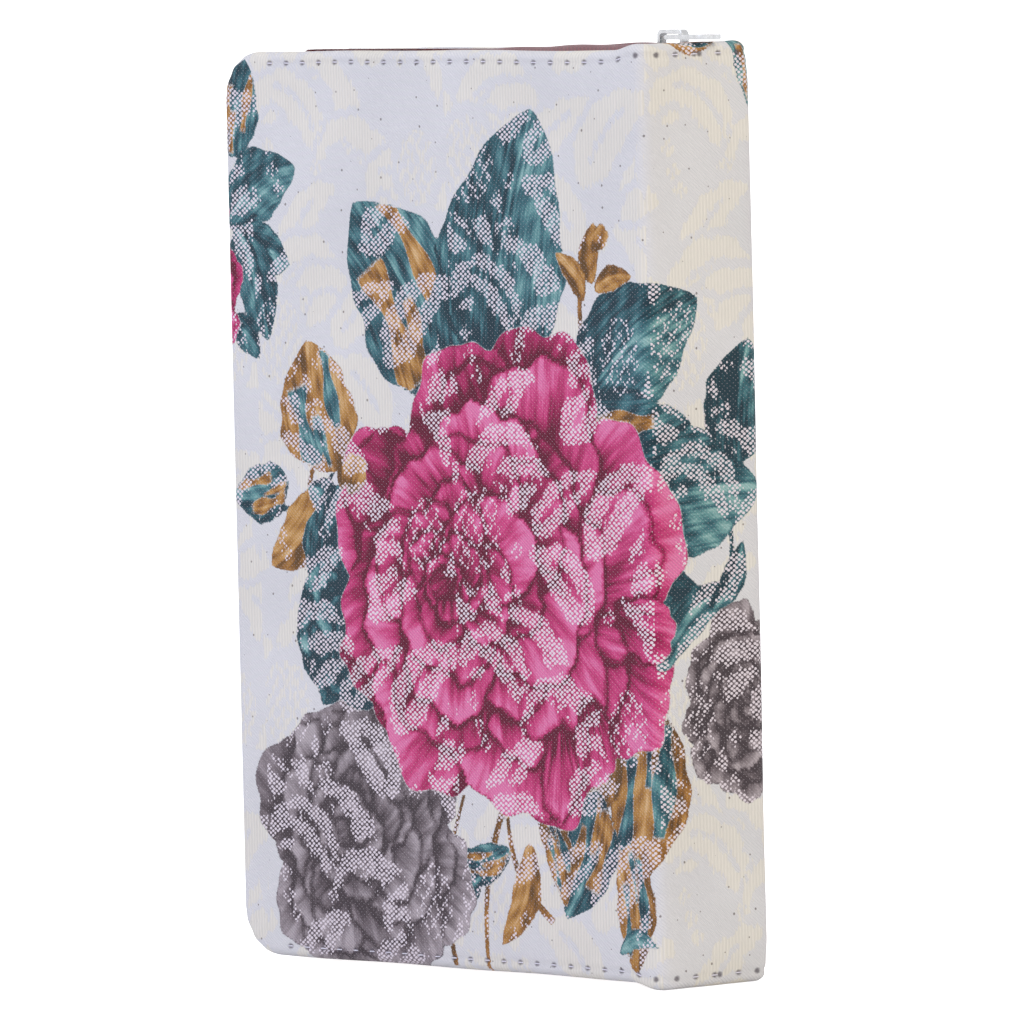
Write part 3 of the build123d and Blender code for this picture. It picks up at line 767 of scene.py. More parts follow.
def makePrintedCotton():
    # printed cotton damask, jacquard woven: matt ribbed ground, ink on the threads, white floats over it
    material, tree, shader = newMaterial("printedCottonDamask")
    place = addNode(tree, "Attribute", attribute_name="cloth").outputs["Vector"]
    brush = addNode(tree, "Attribute", attribute_name="brush").outputs["Vector"]
    inks = addNode(tree, "Attribute", attribute_name="inks")
    tone = addNode(tree, "Attribute", attribute_name="tone").outputs["Fac"]
    edge = addNode(tree, "Attribute", attribute_name="edge").outputs["Fac"]
    scroll = addNode(tree, "Attribute", attribute_name="scroll").outputs["Fac"]
    needle = addNode(tree, "Attribute", attribute_name="needle").outputs["Fac"]
    axes = addNode(tree, "SeparateXYZ", {0: place})
    s, v = axes.outputs[0], axes.outputs[1]
    # threads
    ribs = addNode(tree, "Math", {0: s, 1: 2 * math.pi / weave["ribPitch"]}, operation="MULTIPLY")
    ribs = addNode(tree, "Math", {0: ribs}, operation="SINE")
    slant = addNode(tree, "Math", {0: v, 1: 1.3, 2: s}, operation="MULTIPLY_ADD")
    slant = addNode(tree, "Math", {0: slant, 1: 2 * math.pi / weave["twillPitch"]}, operation="MULTIPLY")
    twill = addNode(tree, "Math", {0: slant}, operation="SINE")
    grain = addNode(tree, "TexNoise", {"Vector": place, "Scale": 2.2, "Detail": 3.0}, noise_dimensions="2D")
    cloud = addNode(tree, "TexNoise", {"Vector": place, "Scale": 0.045, "Detail": 2.0}, noise_dimensions="2D")
    step = addNode(tree, "Math", {0: grain.outputs["Fac"], 1: 0.5}, operation="SUBTRACT")
    # scroll zones, their borders stepped upright by the loom
    stepped = addNode(tree, "Mapping", {0: place, "Scale": (1.3, 0.45, 1)})
    stepped = addNode(tree, "TexNoise", {"Vector": stepped, "Scale": 1.0, "Detail": 2.0},
        noise_dimensions="2D")
    stepped = addNode(tree, "Math", {0: stepped.outputs["Fac"], 1: 0.5}, operation="SUBTRACT")
    ragged = addNode(tree, "Math", {0: stepped, 1: 2.4, 2: scroll}, operation="MULTIPLY_ADD")
    scrollMask = addNode(tree, "MapRange", {"Value": ragged, "From Min": -0.12, "From Max": 0.12})
    # plain ground
    ribShade = addNode(tree, "Math", {0: ribs, 1: 0.050, 2: 0.97}, operation="MULTIPLY_ADD")
    twillShade = addNode(tree, "Math", {0: twill, 1: 0.022, 2: 0.985}, operation="MULTIPLY_ADD")
    ribColour = addNode(tree, "VectorMath", {0: linearColour(weave["ribCotton"])[:3], "Scale": ribShade},
        operation="SCALE")
    twillColour = addNode(tree, "VectorMath", {0: linearColour(weave["twillCotton"])[:3],
        "Scale": twillShade}, operation="SCALE")
    ground = addNode(tree, "Mix", {0: scrollMask, 6: twillColour, 7: ribColour}, data_type="RGBA")
    mottle = addNode(tree, "MapRange", {"Value": cloud.outputs["Fac"], "From Min": 0.3, "From Max": 0.7,
        "To Min": 0.97, "To Max": 1.02})
    ground = addNode(tree, "VectorMath", {0: ground.outputs[2], "Scale": mottle}, operation="SCALE")
    # cotton seed flecks, about one in a square of 6 mm
    seeds = addNode(tree, "TexVoronoi", {"Vector": place, "Scale": 0.17}, voronoi_dimensions="2D")
    small = addNode(tree, "SeparateColor", {0: seeds.outputs["Color"]})
    reach = addNode(tree, "Math", {0: small.outputs[0], 1: 0.045}, operation="MULTIPLY")
    fleck = addNode(tree, "Math", {0: seeds.outputs["Distance"], 1: reach}, operation="LESS_THAN")
    fleck = addNode(tree, "Math", {0: fleck, 1: 0.7}, operation="MULTIPLY")
    colour = addNode(tree, "Mix", {0: fleck, 6: ground, 7: linearColour(weave["fleck"])},
        data_type="RGBA").outputs[2]
    # inks: brush strokes run along each petal and leaf, and the ink pools dark where one lies over another
    stroke = addNode(tree, "TexNoise", {"Vector": brush, "Scale": 0.75, "Detail": 2.5}, noise_dimensions="3D")
    stroke = addNode(tree, "Math", {0: stroke.outputs["Fac"], 1: 0.5}, operation="SUBTRACT")
    level = addNode(tree, "Math", {0: stroke, 1: 1.5, 2: tone}, operation="MULTIPLY_ADD")
    level = addNode(tree, "Math", {0: step, 1: 0.3, 2: level}, operation="MULTIPLY_ADD")
    pooled = addNode(tree, "Math", {0: step, 1: 0.9, 2: edge}, operation="MULTIPLY_ADD")
    pooled = addNode(tree, "MapRange", {"Value": pooled, "From Min": 0.1, "From Max": 0.95, "To Min": 0.42,
        "To Max": 0.0})
    level = addNode(tree, "Math", {0: level, 1: pooled}, operation="SUBTRACT")
    parts = addNode(tree, "SeparateColor", {0: inks.outputs["Color"]})
    fields = [parts.outputs[0], parts.outputs[1], parts.outputs[2], inks.outputs["Alpha"]]
    anyInk = None
    dashes = addNode(tree, "Math", {0: twill, 1: 0.10, 2: 0.96}, operation="MULTIPLY_ADD")
    for name, field in zip(inkNames, fields):
        tones = setRamp(addNode(tree, "ValToRGB", {0: level}),
            list(zip((0.05, 0.3, 0.52, 0.75, 1.0), weave[name])))
        woven = addNode(tree, "VectorMath", {0: tones, "Scale": dashes}, operation="SCALE")
        border = addNode(tree, "Math", {0: step, 1: 0.7, 2: field}, operation="MULTIPLY_ADD")
        mask = addNode(tree, "MapRange", {"Value": border, "From Min": -0.12, "From Max": 0.12})
        colour = addNode(tree, "Mix", {0: mask, 6: colour, 7: woven}, data_type="RGBA").outputs[2]
        anyInk = mask if anyInk is None else addNode(tree, "Math", {0: anyInk, 1: mask}, operation="MAXIMUM")
    # white floats: upright, staggered, long in the scrolls and mere pinpricks between them
    lattice = addNode(tree, "Mapping", {0: place,
        "Scale": (1 / weave["floatWide"], 1 / weave["floatTall"], 1)})
    turned = addNode(tree, "Mapping", {0: lattice, "Rotation": (0, 0, math.pi / 4)})
    floats = addNode(tree, "TexVoronoi", {"Vector": turned, "Scale": 1.0, "Randomness": 0.25},
        voronoi_dimensions="2D")
    widest = addNode(tree, "MapRange", {"Value": scrollMask, "To Min": 0.15, "To Max": 0.43})
    dots = addNode(tree, "Math", {0: widest, 1: floats.outputs["Distance"]}, operation="SUBTRACT")
    dots = addNode(tree, "MapRange", {"Value": dots, "From Min": 0.0, "From Max": 0.09})
    strength = addNode(tree, "MapRange", {"Value": scrollMask, "To Min": 0.35, "To Max": 0.92})
    white = addNode(tree, "Math", {0: dots, 1: strength}, operation="MULTIPLY")
    white = addNode(tree, "Math", {0: white, 1: anyInk}, operation="MULTIPLY")
    colour = addNode(tree, "Mix", {0: white, 6: colour, 7: linearColour(weave["floatThread"])},
        data_type="RGBA").outputs[2]
    # needle holes of the hem: painted shade, dark inside each hole
    hole = addNode(tree, "MapRange", {"Value": needle, "From Min": -0.15, "From Max": 0.25, "To Max": 0.8})
    colour = addNode(tree, "Mix", {0: hole, 6: colour, 7: linearColour("#4C444C")},
        data_type="RGBA").outputs[2]
    tree.links.new(colour, shader.inputs["Base Color"])
    # relief of ribs, twill and floats
    relief = addNode(tree, "Mix", {0: scrollMask, 2: twill, 3: ribs}, data_type="FLOAT")
    relief = addNode(tree, "Math", {0: white, 1: 1.4, 2: relief}, operation="MULTIPLY_ADD")
    relief = addNode(tree, "Math", {0: scrollMask, 1: 0.8, 2: relief}, operation="MULTIPLY_ADD")
    relief = addNode(tree, "Math", {0: grain.outputs["Fac"], 1: 1.2, 2: relief}, operation="MULTIPLY_ADD")
    bump = addNode(tree, "Bump", {"Height": relief, "Strength": 0.6, "Distance": 0.00006})
    tree.links.new(bump.outputs[0], shader.inputs["Normal"])
    rough = addNode(tree, "MapRange", {"Value": white, "To Min": 0.86, "To Max": 0.66})
    tree.links.new(rough.outputs[0], shader.inputs["Roughness"])
    shader.inputs["Sheen Weight"].default_value = 0.08
    shader.inputs["Sheen Roughness"].default_value = 0.5
    shader.inputs["Specular IOR Level"].default_value = 0.3
    return material


printedCotton = makePrintedCotton()


def makeCloth(name, side):
    mesh = clothMesh(name, side)
    clothFields(mesh)
    piece = newPiece(name, mesh, printedCotton)
    thicken(piece, cover["clothThick"], -1, True)      # its inner side is never seen, only its cut edge
    mesh = piece.data
    # a sharp edge where the two cloths meet, so that the spine shades as one
    place = readField(mesh, "cloth")[:, 0]
    atMiddle = np.abs(place - middleS) < 0.01
    ends = np.zeros(len(mesh.edges) * 2, np.int32)
    mesh.edges.foreach_get("vertices", ends)
    ends = ends.reshape(-1, 2)
    sharp = mesh.attributes.get("sharp_edge") or mesh.attributes.new("sharp_edge", "BOOLEAN", "EDGE")
    sharp.data.foreach_set("value", atMiddle[ends[:, 0]] & atMiddle[ends[:, 1]])
    blendAtFold(piece, side)
    return piece


frontCloth = makeCloth("front_cloth", -1)
backCloth = makeCloth("back_cloth", 1)
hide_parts("front_cover_fabric", "spine_cover_fabric")
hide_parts("back_cover_fabric")
print("printed cloth", len(frontCloth.data.polygons) + len(backCloth.data.polygons), "faces")

# Sewing thread of the hems

stitching = {
    "length": 2.7,
    "thick": 0.30,
    "sink": 0.10,
    "startFromCorner": 12.0,
}


def makeThread():
    # spun polyester thread: slightly glossy, two plies wound round each other
    material, tree, shader = newMaterial("spunPolyesterThread")
    place = addNode(tree, "TexCoord").outputs["Object"]
    plies = addNode(tree, "TexNoise", {"Vector": place, "Scale": 4000.0, "Detail": 2.0})
    shade = setRamp(addNode(tree, "ValToRGB", {0: plies}), [(0.35, "#BDB9C8"), (0.65, "#E6E3EC")])
    finishShader(tree, shader, shade, plies, 0.5, 0.00005, {"Roughness": 0.55, "Sheen Weight": 0.2})
    return material


threadFinish = makeThread()


def makeStitches(name, side, lowS, highS, body):
    # one thread shape, bent into a shallow arc and laid along each hem
    shape = bmesh.new()
    pitch = cover["stitchPitch"]
    first = math.ceil((lowS + 2.0) / pitch - 0.5)
    last = math.floor((highS + 2.0) / pitch - 0.5)
    for atHead in (True, False):
        for number in range(first, last + 1):
            middle = (number + 1.0) * pitch - 2.0
            if middle - pitch / 2 < lowS or middle + pitch / 2 > highS:
                continue
            made = bmesh.ops.create_uvsphere(shape, u_segments=6, v_segments=6, radius=0.5)["verts"]
            points = np.array([v.co for v in made])
            lean = math.sin(number * 12.9) * 0.10
            along = points[:, 2] * (stitching["length"] + 0.25 * math.sin(number * 7.7))
            s = middle + along
            hem = hemHead(s) - cover["stitchInset"] if atHead else hemFoot(s) + cover["stitchInset"]
            v = hem + points[:, 0] * stitching["thick"] + lean * points[:, 2]
            dip = 0.42 * (2 * np.abs(points[:, 2])) ** 3
            placed = foldCloth(s, v, 0, side)
            outward = foldCloth(s, v, -1.0, side) - placed
            lift = points[:, 1] * stitching["thick"] * 1.0 - stitching["sink"] - dip + 0.12
            placed = placed + outward * lift[:, None]
            for vert, spot in zip(made, placed):
                vert.co = Vector(spot * mm)
    bmesh.ops.recalc_face_normals(shape, faces=shape.faces)
    mesh = bpy.data.meshes.new(name)
    shape.to_mesh(mesh)
    shape.free()
    piece = newPiece(name, mesh, threadFinish)
    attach(piece, body)
    return piece


foreStart = foreFlatS - cover["hemRoll"] + stitching["startFromCorner"]
makeStitches("front_hem_stitches", -1, foreStart, -arcHalf, "front_cover")
makeStitches("back_hem_stitches", 1, foreStart, -arcHalf, "back_cover")
makeStitches("spine_front_stitches", -1, arcHalf - 0.6, middleS + 2.2, "spine")
makeStitches("spine_back_stitches", 1, arcHalf - 0.6, middleS - 2.6, "spine")
print("stitches")


# Zip tapes: a leg in the hem and a wall out to the teeth, with slack that bulges near the slider

zipTape = {
    "thick": 0.5,
    "margin": 1.2,           # outer edge of the panel to the middle of the tape
    "leg": 3.2,
    "legDepth": 2.1,
    "bend": 0.5,
    "bulge": 1.75,           # at the spine end of the head, none at the fore-edge
    "weavePitch": 1.1,
    "dark": "#470D1C",
    "light": "#6A1628",
}
tapeEndX = boxMm("front_zip_tape")[1][0]


def zipPath(t, margin):
    # a place along the line round head, fore-edge and foot, and the outward direction there
    radius = cover["cornerRadius"] - margin
    left, head, foot = foreX + margin, panelHead - margin, panelFoot + margin
    runA = tapeEndX - (left + radius)
    arc = radius * math.pi / 2
    runB = head - foot - 2 * radius
    total = 2 * runA + 2 * arc + runB
    d = t * total
    marks = np.cumsum([0, runA, arc, runB, arc, runA])
    x, z, nx, nz = np.zeros((4, len(d)))
    part = (d <= marks[1])
    x[part], z[part], nz[part] = tapeEndX - d[part], head, 1
    part = (d > marks[1]) & (d <= marks[2])
    a = (d[part] - marks[1]) / radius
    nx[part], nz[part] = -np.sin(a), np.cos(a)
    x[part], z[part] = left + radius + radius * nx[part], head - radius + radius * nz[part]
    part = (d > marks[2]) & (d <= marks[3])
    x[part], z[part], nx[part] = left, head - radius - (d[part] - marks[2]), -1
    part = (d > marks[3]) & (d <= marks[4])
    a = (d[part] - marks[3]) / radius
    nx[part], nz[part] = -np.cos(a), -np.sin(a)
    x[part], z[part] = left + radius + radius * nx[part], foot + radius + radius * nz[part]
    part = d > marks[4]
    x[part], z[part], nz[part] = left + radius + d[part] - marks[4], foot, -1
    return x, z, nx, nz, total


def makeTapeFinish():
    # woven polyester zip tape: fine herringbone, dull sheen, darker between the yarns
    material, tree, shader = newMaterial("wovenPolyesterTape")
    place = addNode(tree, "Attribute", attribute_name="cloth").outputs["Vector"]
    axes = addNode(tree, "SeparateXYZ", {0: place})
    fold = addNode(tree, "Math", {0: axes.outputs[1], 1: 1.6}, operation="PINGPONG")
    slope = addNode(tree, "Math", {0: fold, 1: 1.2, 2: axes.outputs[0]}, operation="MULTIPLY_ADD")
    slope = addNode(tree, "Math", {0: slope, 1: 2 * math.pi / zipTape["weavePitch"]}, operation="MULTIPLY")
    yarns = addNode(tree, "Math", {0: slope}, operation="SINE")
    fuzz = addNode(tree, "TexNoise", {"Vector": place, "Scale": 3.0, "Detail": 3.0}, noise_dimensions="2D")
    level = addNode(tree, "Math", {0: yarns, 1: 0.25, 2: fuzz.outputs["Fac"]}, operation="MULTIPLY_ADD")
    shade = setRamp(addNode(tree, "ValToRGB", {0: level}), [(0.2, zipTape["dark"]), (0.8, zipTape["light"])])
    finishShader(tree, shader, shade, level, 0.5, 0.0001, {"Roughness": 0.75, "Sheen Weight": 0.25})
    return material


tapeFinish = makeTapeFinish()


def makeTape(name, side, body, oldNode):
    low, high = boxMm(oldNode)
    edge = high[1] if side < 0 else low[1]
    sunk = side * (halfThick - zipTape["legDepth"])
    leg, bend = zipTape["leg"], zipTape["bend"]
    wall = abs(edge - sunk)
    across = leg + wall - 2 * bend + bend * math.pi / 2
    mesh = gridMesh(name, 420, 20, side > 0)
    flat = readPoints(mesh)
    t = flat[:, 0] + 0.5
    w = (flat[:, 1] + 0.5) * across
    x, z, nx, nz, total = zipPath(t, zipTape["margin"])
    turn = np.clip((w - (leg - bend)) / bend, 0, math.pi / 2)
    inset = np.where(w < leg - bend, leg - w, bend * (1 - np.sin(turn)))
    rise = np.where(w < leg - bend, 0, bend * (1 - np.cos(turn)))
    rise = rise + np.maximum(w - (leg - bend) - bend * math.pi / 2, 0)
    reach = np.clip(rise / wall, 0, 1)
    nearSlider = smoothStep((x + 45) / 95) * (z > 90)
    out = zipTape["bulge"] * nearSlider * np.sin(math.pi * np.clip((reach - 0.06) / 0.80, 0, 1)) ** 1.2
    endFade = smoothStep((tapeEndX - x) / 3.0)
    out = out * endFade + 0.12 * np.sin(math.pi * reach) * np.sin(t * 140)
    place = np.stack([x + nx * (out - inset), sunk - side * rise, z + nz * (out - inset)], 1)
    writePoints(mesh, place * mm)
    keepField(mesh, "cloth", "FLOAT_VECTOR", np.stack([t * total, w, w * 0], 1))
    piece = newPiece(name, mesh, tapeFinish)
    thicken(piece, zipTape["thick"])
    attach(piece, body)
    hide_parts(oldNode)
    return piece


makeTape("front_tape", -1, "front_cover", "front_zip_tape")
makeTape("back_tape", 1, "back_cover", "back_zip_tape")
print("zip tapes")


# Hard parts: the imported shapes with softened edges

def makeChrome():
    # nickel plated zinc casting: bright, with a soft orange-peel and fine rubbing marks
    material, tree, shader = newMaterial("nickelPlatedZinc")
    place = addNode(tree, "TexCoord").outputs["Object"]
    rub = addNode(tree, "TexNoise", {"Vector": place, "Scale": 900.0, "Detail": 4.0})
    shade = setRamp(addNode(tree, "ValToRGB", {0: rub}), [(0.3, "#B9BABD"), (0.7, "#D3D4D6")])
    tree.links.new(shade.outputs[0], shader.inputs["Base Color"])
    rough = addNode(tree, "MapRange", {"Value": rub, "From Min": 0.3, "From Max": 0.7, "To Min": 0.12,
        "To Max": 0.26})
    tree.links.new(rough.outputs[0], shader.inputs["Roughness"])
    bump = addNode(tree, "Bump", {"Height": rub, "Strength": 0.12, "Distance": 0.00004})
    tree.links.new(bump.outputs[0], shader.inputs["Normal"])
    shader.inputs["Metallic"].default_value = 1.0
    return material


def makeTeethFinish():
    # moulded polyacetal: smooth, waxy, faint flow marks
    material, tree, shader = newMaterial("mouldedPolyacetal")
    place = addNode(tree, "TexCoord").outputs["Object"]
    flow = addNode(tree, "TexNoise", {"Vector": place, "Scale": 600.0, "Detail": 2.0})
    shade = setRamp(addNode(tree, "ValToRGB", {0: flow}), [(0.3, "#4C0F16"), (0.7, "#63161E")])
    finishShader(tree, shader, shade, flow, 0.15, 0.00005, {"Roughness": 0.38})
    return material


def makeBookCloth():
    # embossed book cloth over board: leather grain, satin, with painted shade: dark in the creases of the grain and
    # lighter on the raised parts
    material, tree, shader = newMaterial("grainedBookCloth")
    place = addNode(tree, "TexCoord").outputs["Object"]
    cells = addNode(tree, "TexVoronoi", {"Vector": place, "Scale": 900.0}, feature="DISTANCE_TO_EDGE")
    worn = addNode(tree, "TexNoise", {"Vector": place, "Scale": 35.0, "Detail": 4.0})
    # painted shade: the colour ramp darkens the grain's creases, where the relief sinks, and lightens the raised
    # parts
    crease = addNode(tree, "MapRange", {"Value": cells.outputs["Distance"], "From Max": 0.12})
    shade = setRamp(addNode(tree, "ValToRGB", {0: crease}),
        [(0.0, "#2C070B"), (0.6, "#541019"), (1.0, "#5E151F")])
    lift = addNode(tree, "MapRange", {"Value": worn, "From Min": 0.35, "From Max": 0.7, "To Min": 0.9,
        "To Max": 1.15})
    colour = addNode(tree, "VectorMath", {0: shade, "Scale": lift}, operation="SCALE")
    finishShader(tree, shader, colour, crease, 0.6, 0.00012, {"Roughness": 0.5})
    return material


def makePaper(name, light, dark, edges):
    # uncoated book paper, calendered: soft fibres, a warm tint; at the edges the cut sheets show as fine lines
    material, tree, shader = newMaterial(name)
    place = addNode(tree, "TexCoord").outputs["Object"]
    fibre = addNode(tree, "TexNoise", {"Vector": place, "Scale": 500.0, "Detail": 5.0})
    shade = setRamp(addNode(tree, "ValToRGB", {0: fibre}), [(0.3, dark), (0.7, light)])
    colour, height = shade.outputs[0], fibre.outputs["Fac"]
    if edges:
        sheet = addNode(tree, "Attribute", attribute_name="sheetPlace").outputs["Fac"]
        sheets = addNode(tree, "Math", {0: sheet, 1: 6.0}, operation="MULTIPLY")
        fine = addNode(tree, "TexNoise", {"W": sheets, "Scale": 1.0, "Detail": 2.0}, noise_dimensions="1D")
        rim = addNode(tree, "Attribute", attribute_name="rim").outputs["Fac"]
        lines = addNode(tree, "MapRange", {"Value": fine, "From Min": 0.35, "From Max": 0.65,
            "To Min": 0.70, "To Max": 1.04})
        lines = addNode(tree, "Mix", {0: rim, 2: 1.0, 3: lines}, data_type="FLOAT")
        colour = addNode(tree, "VectorMath", {0: colour, "Scale": lines}, operation="SCALE").outputs[0]
        height = addNode(tree, "Math", {0: fine, 1: rim, 2: height}, operation="MULTIPLY_ADD")
    finishShader(tree, shader, colour, height, 0.35, 0.0001, {"Roughness": 0.82})
    return material


def makeWoven(name, light, dark, pitch, roughness, sheen):
    # plain weave: square over-and-under threads, matt
    material, tree, shader = newMaterial(name)
    place = addNode(tree, "TexCoord").outputs["Object"]
    axes = addNode(tree, "SeparateXYZ", {0: place})
    waves = []
    for axis in (axes.outputs[0], axes.outputs[2], axes.outputs[1]):
        phase = addNode(tree, "Math", {0: axis, 1: 2 * math.pi / (pitch * mm)}, operation="MULTIPLY")
        waves.append(addNode(tree, "Math", {0: phase}, operation="SINE"))
    warp = addNode(tree, "Math", {0: waves[0], 1: waves[2]}, operation="ADD")
    both = addNode(tree, "Math", {0: warp, 1: waves[1]}, operation="MULTIPLY")
    slub = addNode(tree, "TexNoise", {"Vector": place, "Scale": 900.0, "Detail": 3.0})
    level = addNode(tree, "Math", {0: both, 1: 0.12, 2: slub.outputs["Fac"]}, operation="MULTIPLY_ADD")
    shade = setRamp(addNode(tree, "ValToRGB", {0: level}), [(0.3, dark), (0.7, light)])
    finishShader(tree, shader, shade, level, 0.5, 0.00008, {"Roughness": roughness, "Sheen Weight": sheen})
    return material


def makeWadding():
    # bonded polyester wadding: loose white fibres, very matt
    material, tree, shader = newMaterial("bondedPolyesterWadding")
    place = addNode(tree, "TexCoord").outputs["Object"]
    fibres = addNode(tree, "TexNoise", {"Vector": place, "Scale": 700.0, "Detail": 6.0, "Distortion": 2.0})
    shade = setRamp(addNode(tree, "ValToRGB", {0: fibres}), [(0.3, "#C9C8C4"), (0.7, "#EBEAE6")])
    finishShader(tree, shader, shade, fibres, 0.8, 0.0003, {"Roughness": 0.95})
    return material


def makeHeadband():
    # rayon headband: raised stripes of two colours, silky
    material, tree, shader = newMaterial("stripedRayonHeadband")
    place = addNode(tree, "TexCoord").outputs["Object"]
    axes = addNode(tree, "SeparateXYZ", {0: place})
    phase = addNode(tree, "Math", {0: axes.outputs[1], 1: 2 * math.pi / 0.0016}, operation="MULTIPLY")
    stripe = addNode(tree, "Math", {0: phase}, operation="SINE")
    shade = setRamp(addNode(tree, "ValToRGB", {0: stripe}), [(0.0, "#E4D9C2"), (0.35, "#6A1620")], "CONSTANT")
    tree.links.new(shade.outputs[0], shader.inputs["Base Color"])
    threads = addNode(tree, "Math", {0: axes.outputs[1], 1: 2 * math.pi / 0.0004}, operation="MULTIPLY")
    threads = addNode(tree, "Math", {0: threads}, operation="SINE")
    bump = addNode(tree, "Bump", {"Height": threads, "Strength": 0.5, "Distance": 0.0001})
    tree.links.new(bump.outputs[0], shader.inputs["Normal"])
    shader.inputs["Roughness"].default_value = 0.4
    shader.inputs["Sheen Weight"].default_value = 0.3
    return material


chrome = makeChrome()
teethFinish = makeTeethFinish()
bookCloth = makeBookCloth()
bookPaper = makePaper("uncoatedBookPaper", "#EDE6D3", "#E2D9C2", True)
endPaper = makePaper("laidEndpaper", "#E9E0CC", "#DED2B8", False)
liningCloth = makeWoven("cottonLining", "#D9D2C4", "#BEB5A4", 0.8, 0.85, 0.1)
gauze = makeWoven("cottonGauze", "#E6E0D2", "#B3AC9C", 1.2, 0.9, 0.0)
greyBoard = makePaper("greyBoard", "#9A958C", "#7C776E", False)
waddingFinish = makeWadding()
headbandFinish = makeHeadband()
ribbonFinish = makeWoven("satinRibbon", "#7E1C27", "#5C0F18", 0.35, 0.35, 0.4)


def softened(node):
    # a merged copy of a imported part, ready to have its edges rounded
    mesh = nodes[node].data.copy()
    mesh.name = node + "_soft"
    shape = bmesh.new()
    shape.from_mesh(mesh)
    bmesh.ops.remove_doubles(shape, verts=shape.verts, dist=1e-6)
    bmesh.ops.dissolve_limit(shape, angle_limit=math.radians(1.0), verts=shape.verts, edges=shape.edges)
    for edge in shape.edges:
        edge.smooth = True
    shape.to_mesh(mesh)
    shape.free()
    while mesh.attributes.get("custom_normal"):
        mesh.attributes.remove(mesh.attributes["custom_normal"])
    return mesh


def makeHardPiece(name, node, material, body, width, segments=2):
    mesh = softened(node)
    piece = newPiece(name, mesh, material)
    bevel = piece.modifiers.new("edges", "BEVEL")
    bevel.width = width * mm
    bevel.segments = segments
    bevel.limit_method = "ANGLE"
    bevel.angle_limit = math.radians(35)
    bevel.harden_normals = True
    finishMesh(piece)
    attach(piece, body)
    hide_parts(node)
    return piece


makeHardPiece("slider_body", "zip_slider", chrome, "zip_slider", 0.16, 3)
makeHardPiece("pull_tab", "zip_pull", chrome, "zip_pull", 0.2, 3)
makeHardPiece("foot_staple", "zip_end_stop", chrome, "back_cover", 0.15)
makeHardPiece("front_stop_clamp", "front_zip_top_stop", chrome, "front_cover", 0.2)
makeHardPiece("back_stop_clamp", "back_zip_top_stop", chrome, "back_cover", 0.2)
makeHardPiece("front_board", "front_book_board", bookCloth, "front_cover", 0.35)
makeHardPiece("back_board", "back_book_board", bookCloth, "back_cover", 0.35)
makeHardPiece("book_back", "book_spine", bookCloth, "spine", 0.3)
for node, material in (
    ("front_zip_teeth", teethFinish), ("back_zip_teeth", teethFinish),
    ("front_wadding", waddingFinish), ("back_wadding", waddingFinish), ("spine_wadding", waddingFinish),
    ("front_stiffener", greyBoard), ("back_stiffener", greyBoard), ("spine_stiffener", greyBoard),
    ("front_pocket", liningCloth), ("back_pocket", liningCloth),
    ("front_endpaper", endPaper), ("back_endpaper", endPaper),
    ("headbands", headbandFinish), ("mull", gauze),
):
    nodes[node].data.materials.clear()
    nodes[node].data.materials.append(material)
print("hard parts")


# Lining: one cloth that turns over both folds, parted at the middle of the spine

lining = {
    "thick": 0.35,
    "depth": 2.8,           # from the outside of the case to the lining
    "margin": 1.8,
    "cell": 1.6,
    "cutTall": 0.178,       # as cut, in metres
}


def makeLining(name, side, oldNodes):
    depth = lining["depth"]
    left = foreX + lining["margin"]
    foldX = spineX - depth
    faceY = halfThick - depth
    runPanel = foldX - left
    width = runPanel + faceY
    mesh = gridMesh(name, int(width / lining["cell"]) * 2, 110, side < 0)
    flat = readPoints(mesh)
    a = (flat[:, 0] + 0.5) * width
    b = flat[:, 1] + 0.5
    onSpine = a > runPanel
    rise = smoothStep((a - runPanel + 8) / 8)
    head = panelHead + (spineHead - panelHead) * rise - lining["margin"]
    foot = panelFoot + (spineFoot - panelFoot) * rise + lining["margin"]
    x, z = drawInCorners(a, foot + b * (head - foot), 0, foot, head, cover["cornerRadius"] - lining["margin"])
    placeX = np.where(onSpine, foldX, left + x)
    placeY = np.where(onSpine, side * (faceY - (a - runPanel)), side * faceY)
    writePoints(mesh, np.stack([placeX, placeY, z], 1) * mm)
    keepField(mesh, "cloth", "FLOAT_VECTOR", np.stack([a, z, a * 0], 1))
    piece = newPiece(name, mesh, liningCloth)
    thicken(piece, lining["thick"])
    blendAtFold(piece, side)
    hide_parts(*oldNodes)
    return piece


makeLining("front_lining_cloth", -1, ["front_lining", "spine_lining"])
makeLining("back_lining_cloth", 1, ["back_lining"])
print("lining")


# Leaves: each half is one block of sheets, sewn at the spine

book = {
    "cornerRadius": 5.0,
    "gutterFree": 20.0,      # length of leaf next to the spine
    "edgeWander": 0.16,      # how unevenly the sheets are cut
    "closeColumns": 34.0,    # length near the spine with more columns of faces
    "columns": 150,
    "layers": 26,
    "rows": 48,
}


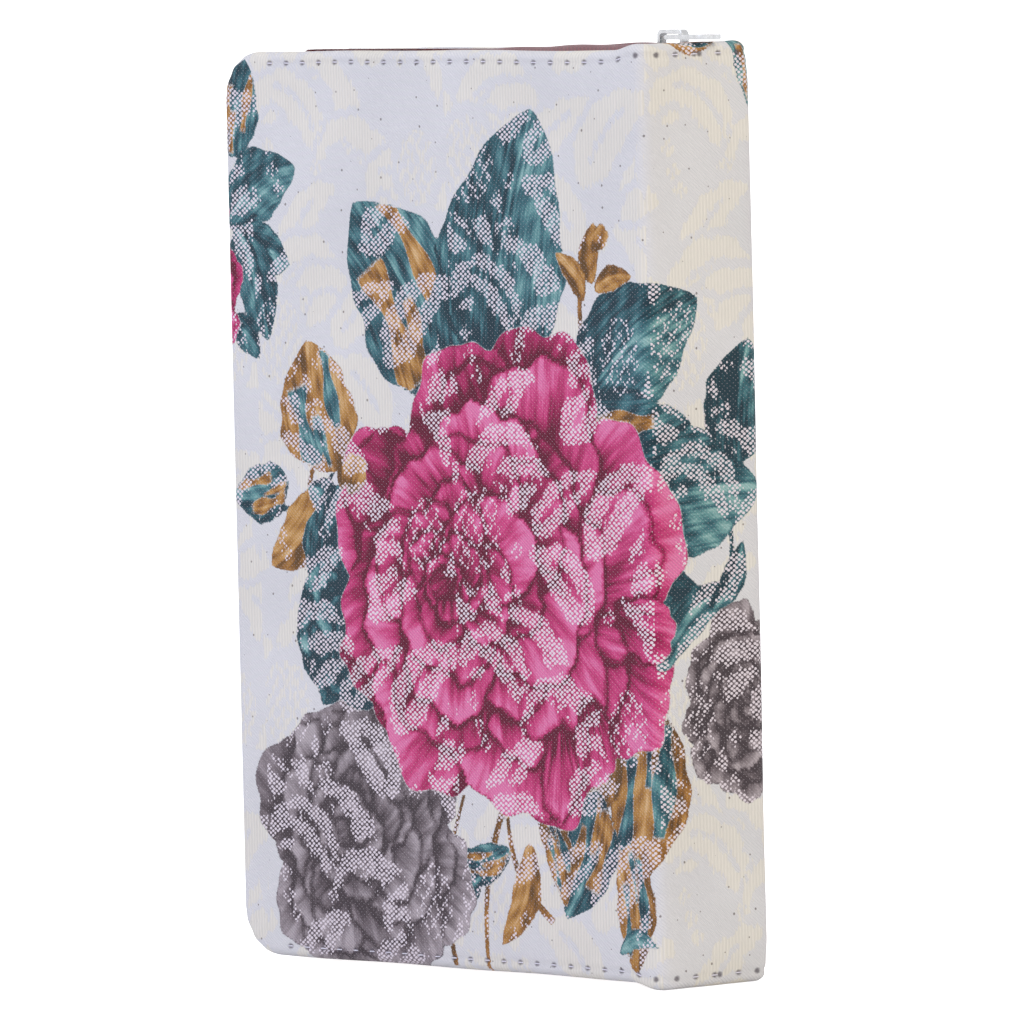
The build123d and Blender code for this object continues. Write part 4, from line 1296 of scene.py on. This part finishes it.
def makePages(name, side, oldNodes):
    low, high = boxMm(oldNodes[0])
    sewnX = boxMm("sewn_back")[1][0]
    left, right = low[0], sewnX - 0.05
    inner, outer = min(abs(low[1]), abs(high[1])), max(abs(low[1]), abs(high[1]))
    foot, head = low[2], high[2]
    layers, near = book["layers"], book["closeColumns"]
    shape = bmesh.new()
    bmesh.ops.create_cube(shape, size=1.0)
    for axis, parts in ((0, book["columns"]), (1, layers), (2, book["rows"])):
        ends = [(edge, edge.verts[0].co - edge.verts[1].co) for edge in shape.edges]
        picked = [edge for edge, run in ends if abs(run[axis]) > 1e-6 and abs(run[axis]) > run.length - 1e-6]
        bmesh.ops.subdivide_edges(shape, edges=picked, cuts=parts - 1, use_grid_fill=True)
    mesh = bpy.data.meshes.new(name)
    shape.to_mesh(mesh)
    shape.free()
    unit = readPoints(mesh) + 0.5
    u, layer, w = unit[:, 0], unit[:, 1], unit[:, 2]
    x = np.where(u < 0.45, left + (right - near - left) * u / 0.45, right - near + near * (u - 0.45) / 0.55)
    z = foot + (head - foot) * w
    random = np.random.RandomState(31)
    sheet = np.clip(np.round(layer * layers).astype(int), 0, layers)
    wander = random.uniform(-1, 1, layers + 1)[sheet] * book["edgeWander"]
    x, z = drawInCorners(x, z, left, foot, head, book["cornerRadius"])
    rimFore = u < 1e-4
    rimEnds = (w < 1e-4) | (w > 1 - 1e-4)
    x = x + np.where(rimFore, np.abs(wander), 0)
    z = z - np.where(rimEnds, np.abs(wander) * np.sign(w - 0.5), 0)
    y = side * (inner + (outer - inner) * layer)
    writePoints(mesh, np.stack([x, y, z], 1) * mm)
    keepField(mesh, "sheetPlace", "FLOAT", np.abs(y))
    keepField(mesh, "rim", "FLOAT", (rimFore | rimEnds).astype(float))
    shape = bmesh.new()
    shape.from_mesh(mesh)
    bmesh.ops.recalc_face_normals(shape, faces=shape.faces)
    shape.to_mesh(mesh)
    shape.free()
    piece = newPiece(name, mesh, bookPaper)
    mesh.polygons.foreach_set("use_smooth", [False] * len(mesh.polygons))
    blendAtFold(piece, side)
    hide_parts(*oldNodes)
    return piece


makePages("front_pages", -1, ["front_leaves", "sewn_back"])
makePages("back_pages", 1, ["back_leaves"])
print("leaves")


ribbon = {"thick": 0.2, "slant": 1.6, "wave": 0.05}     # the slant of its cut tail, and how far it lies off flat


def makeRibbon():
    low, high = boxMm("ribbon_marker")
    mesh = gridMesh("ribbon", 10, 170)
    flat = readPoints(mesh)
    x = low[0] + (flat[:, 0] + 0.5) * (high[0] - low[0])
    cut = (flat[:, 0] + 0.5) * ribbon["slant"]
    z = low[2] + cut + (flat[:, 1] + 0.5) * (high[2] - low[2] - cut)
    y = ribbon["wave"] * np.sin(z / 4.0) * np.cos(flat[:, 0] * 3)
    writePoints(mesh, np.stack([x, y, z], 1) * mm)
    piece = newPiece("ribbon", mesh, ribbonFinish)
    thicken(piece, ribbon["thick"])
    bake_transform(piece)
    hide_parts("ribbon_marker")


makeRibbon()
print("ribbon")
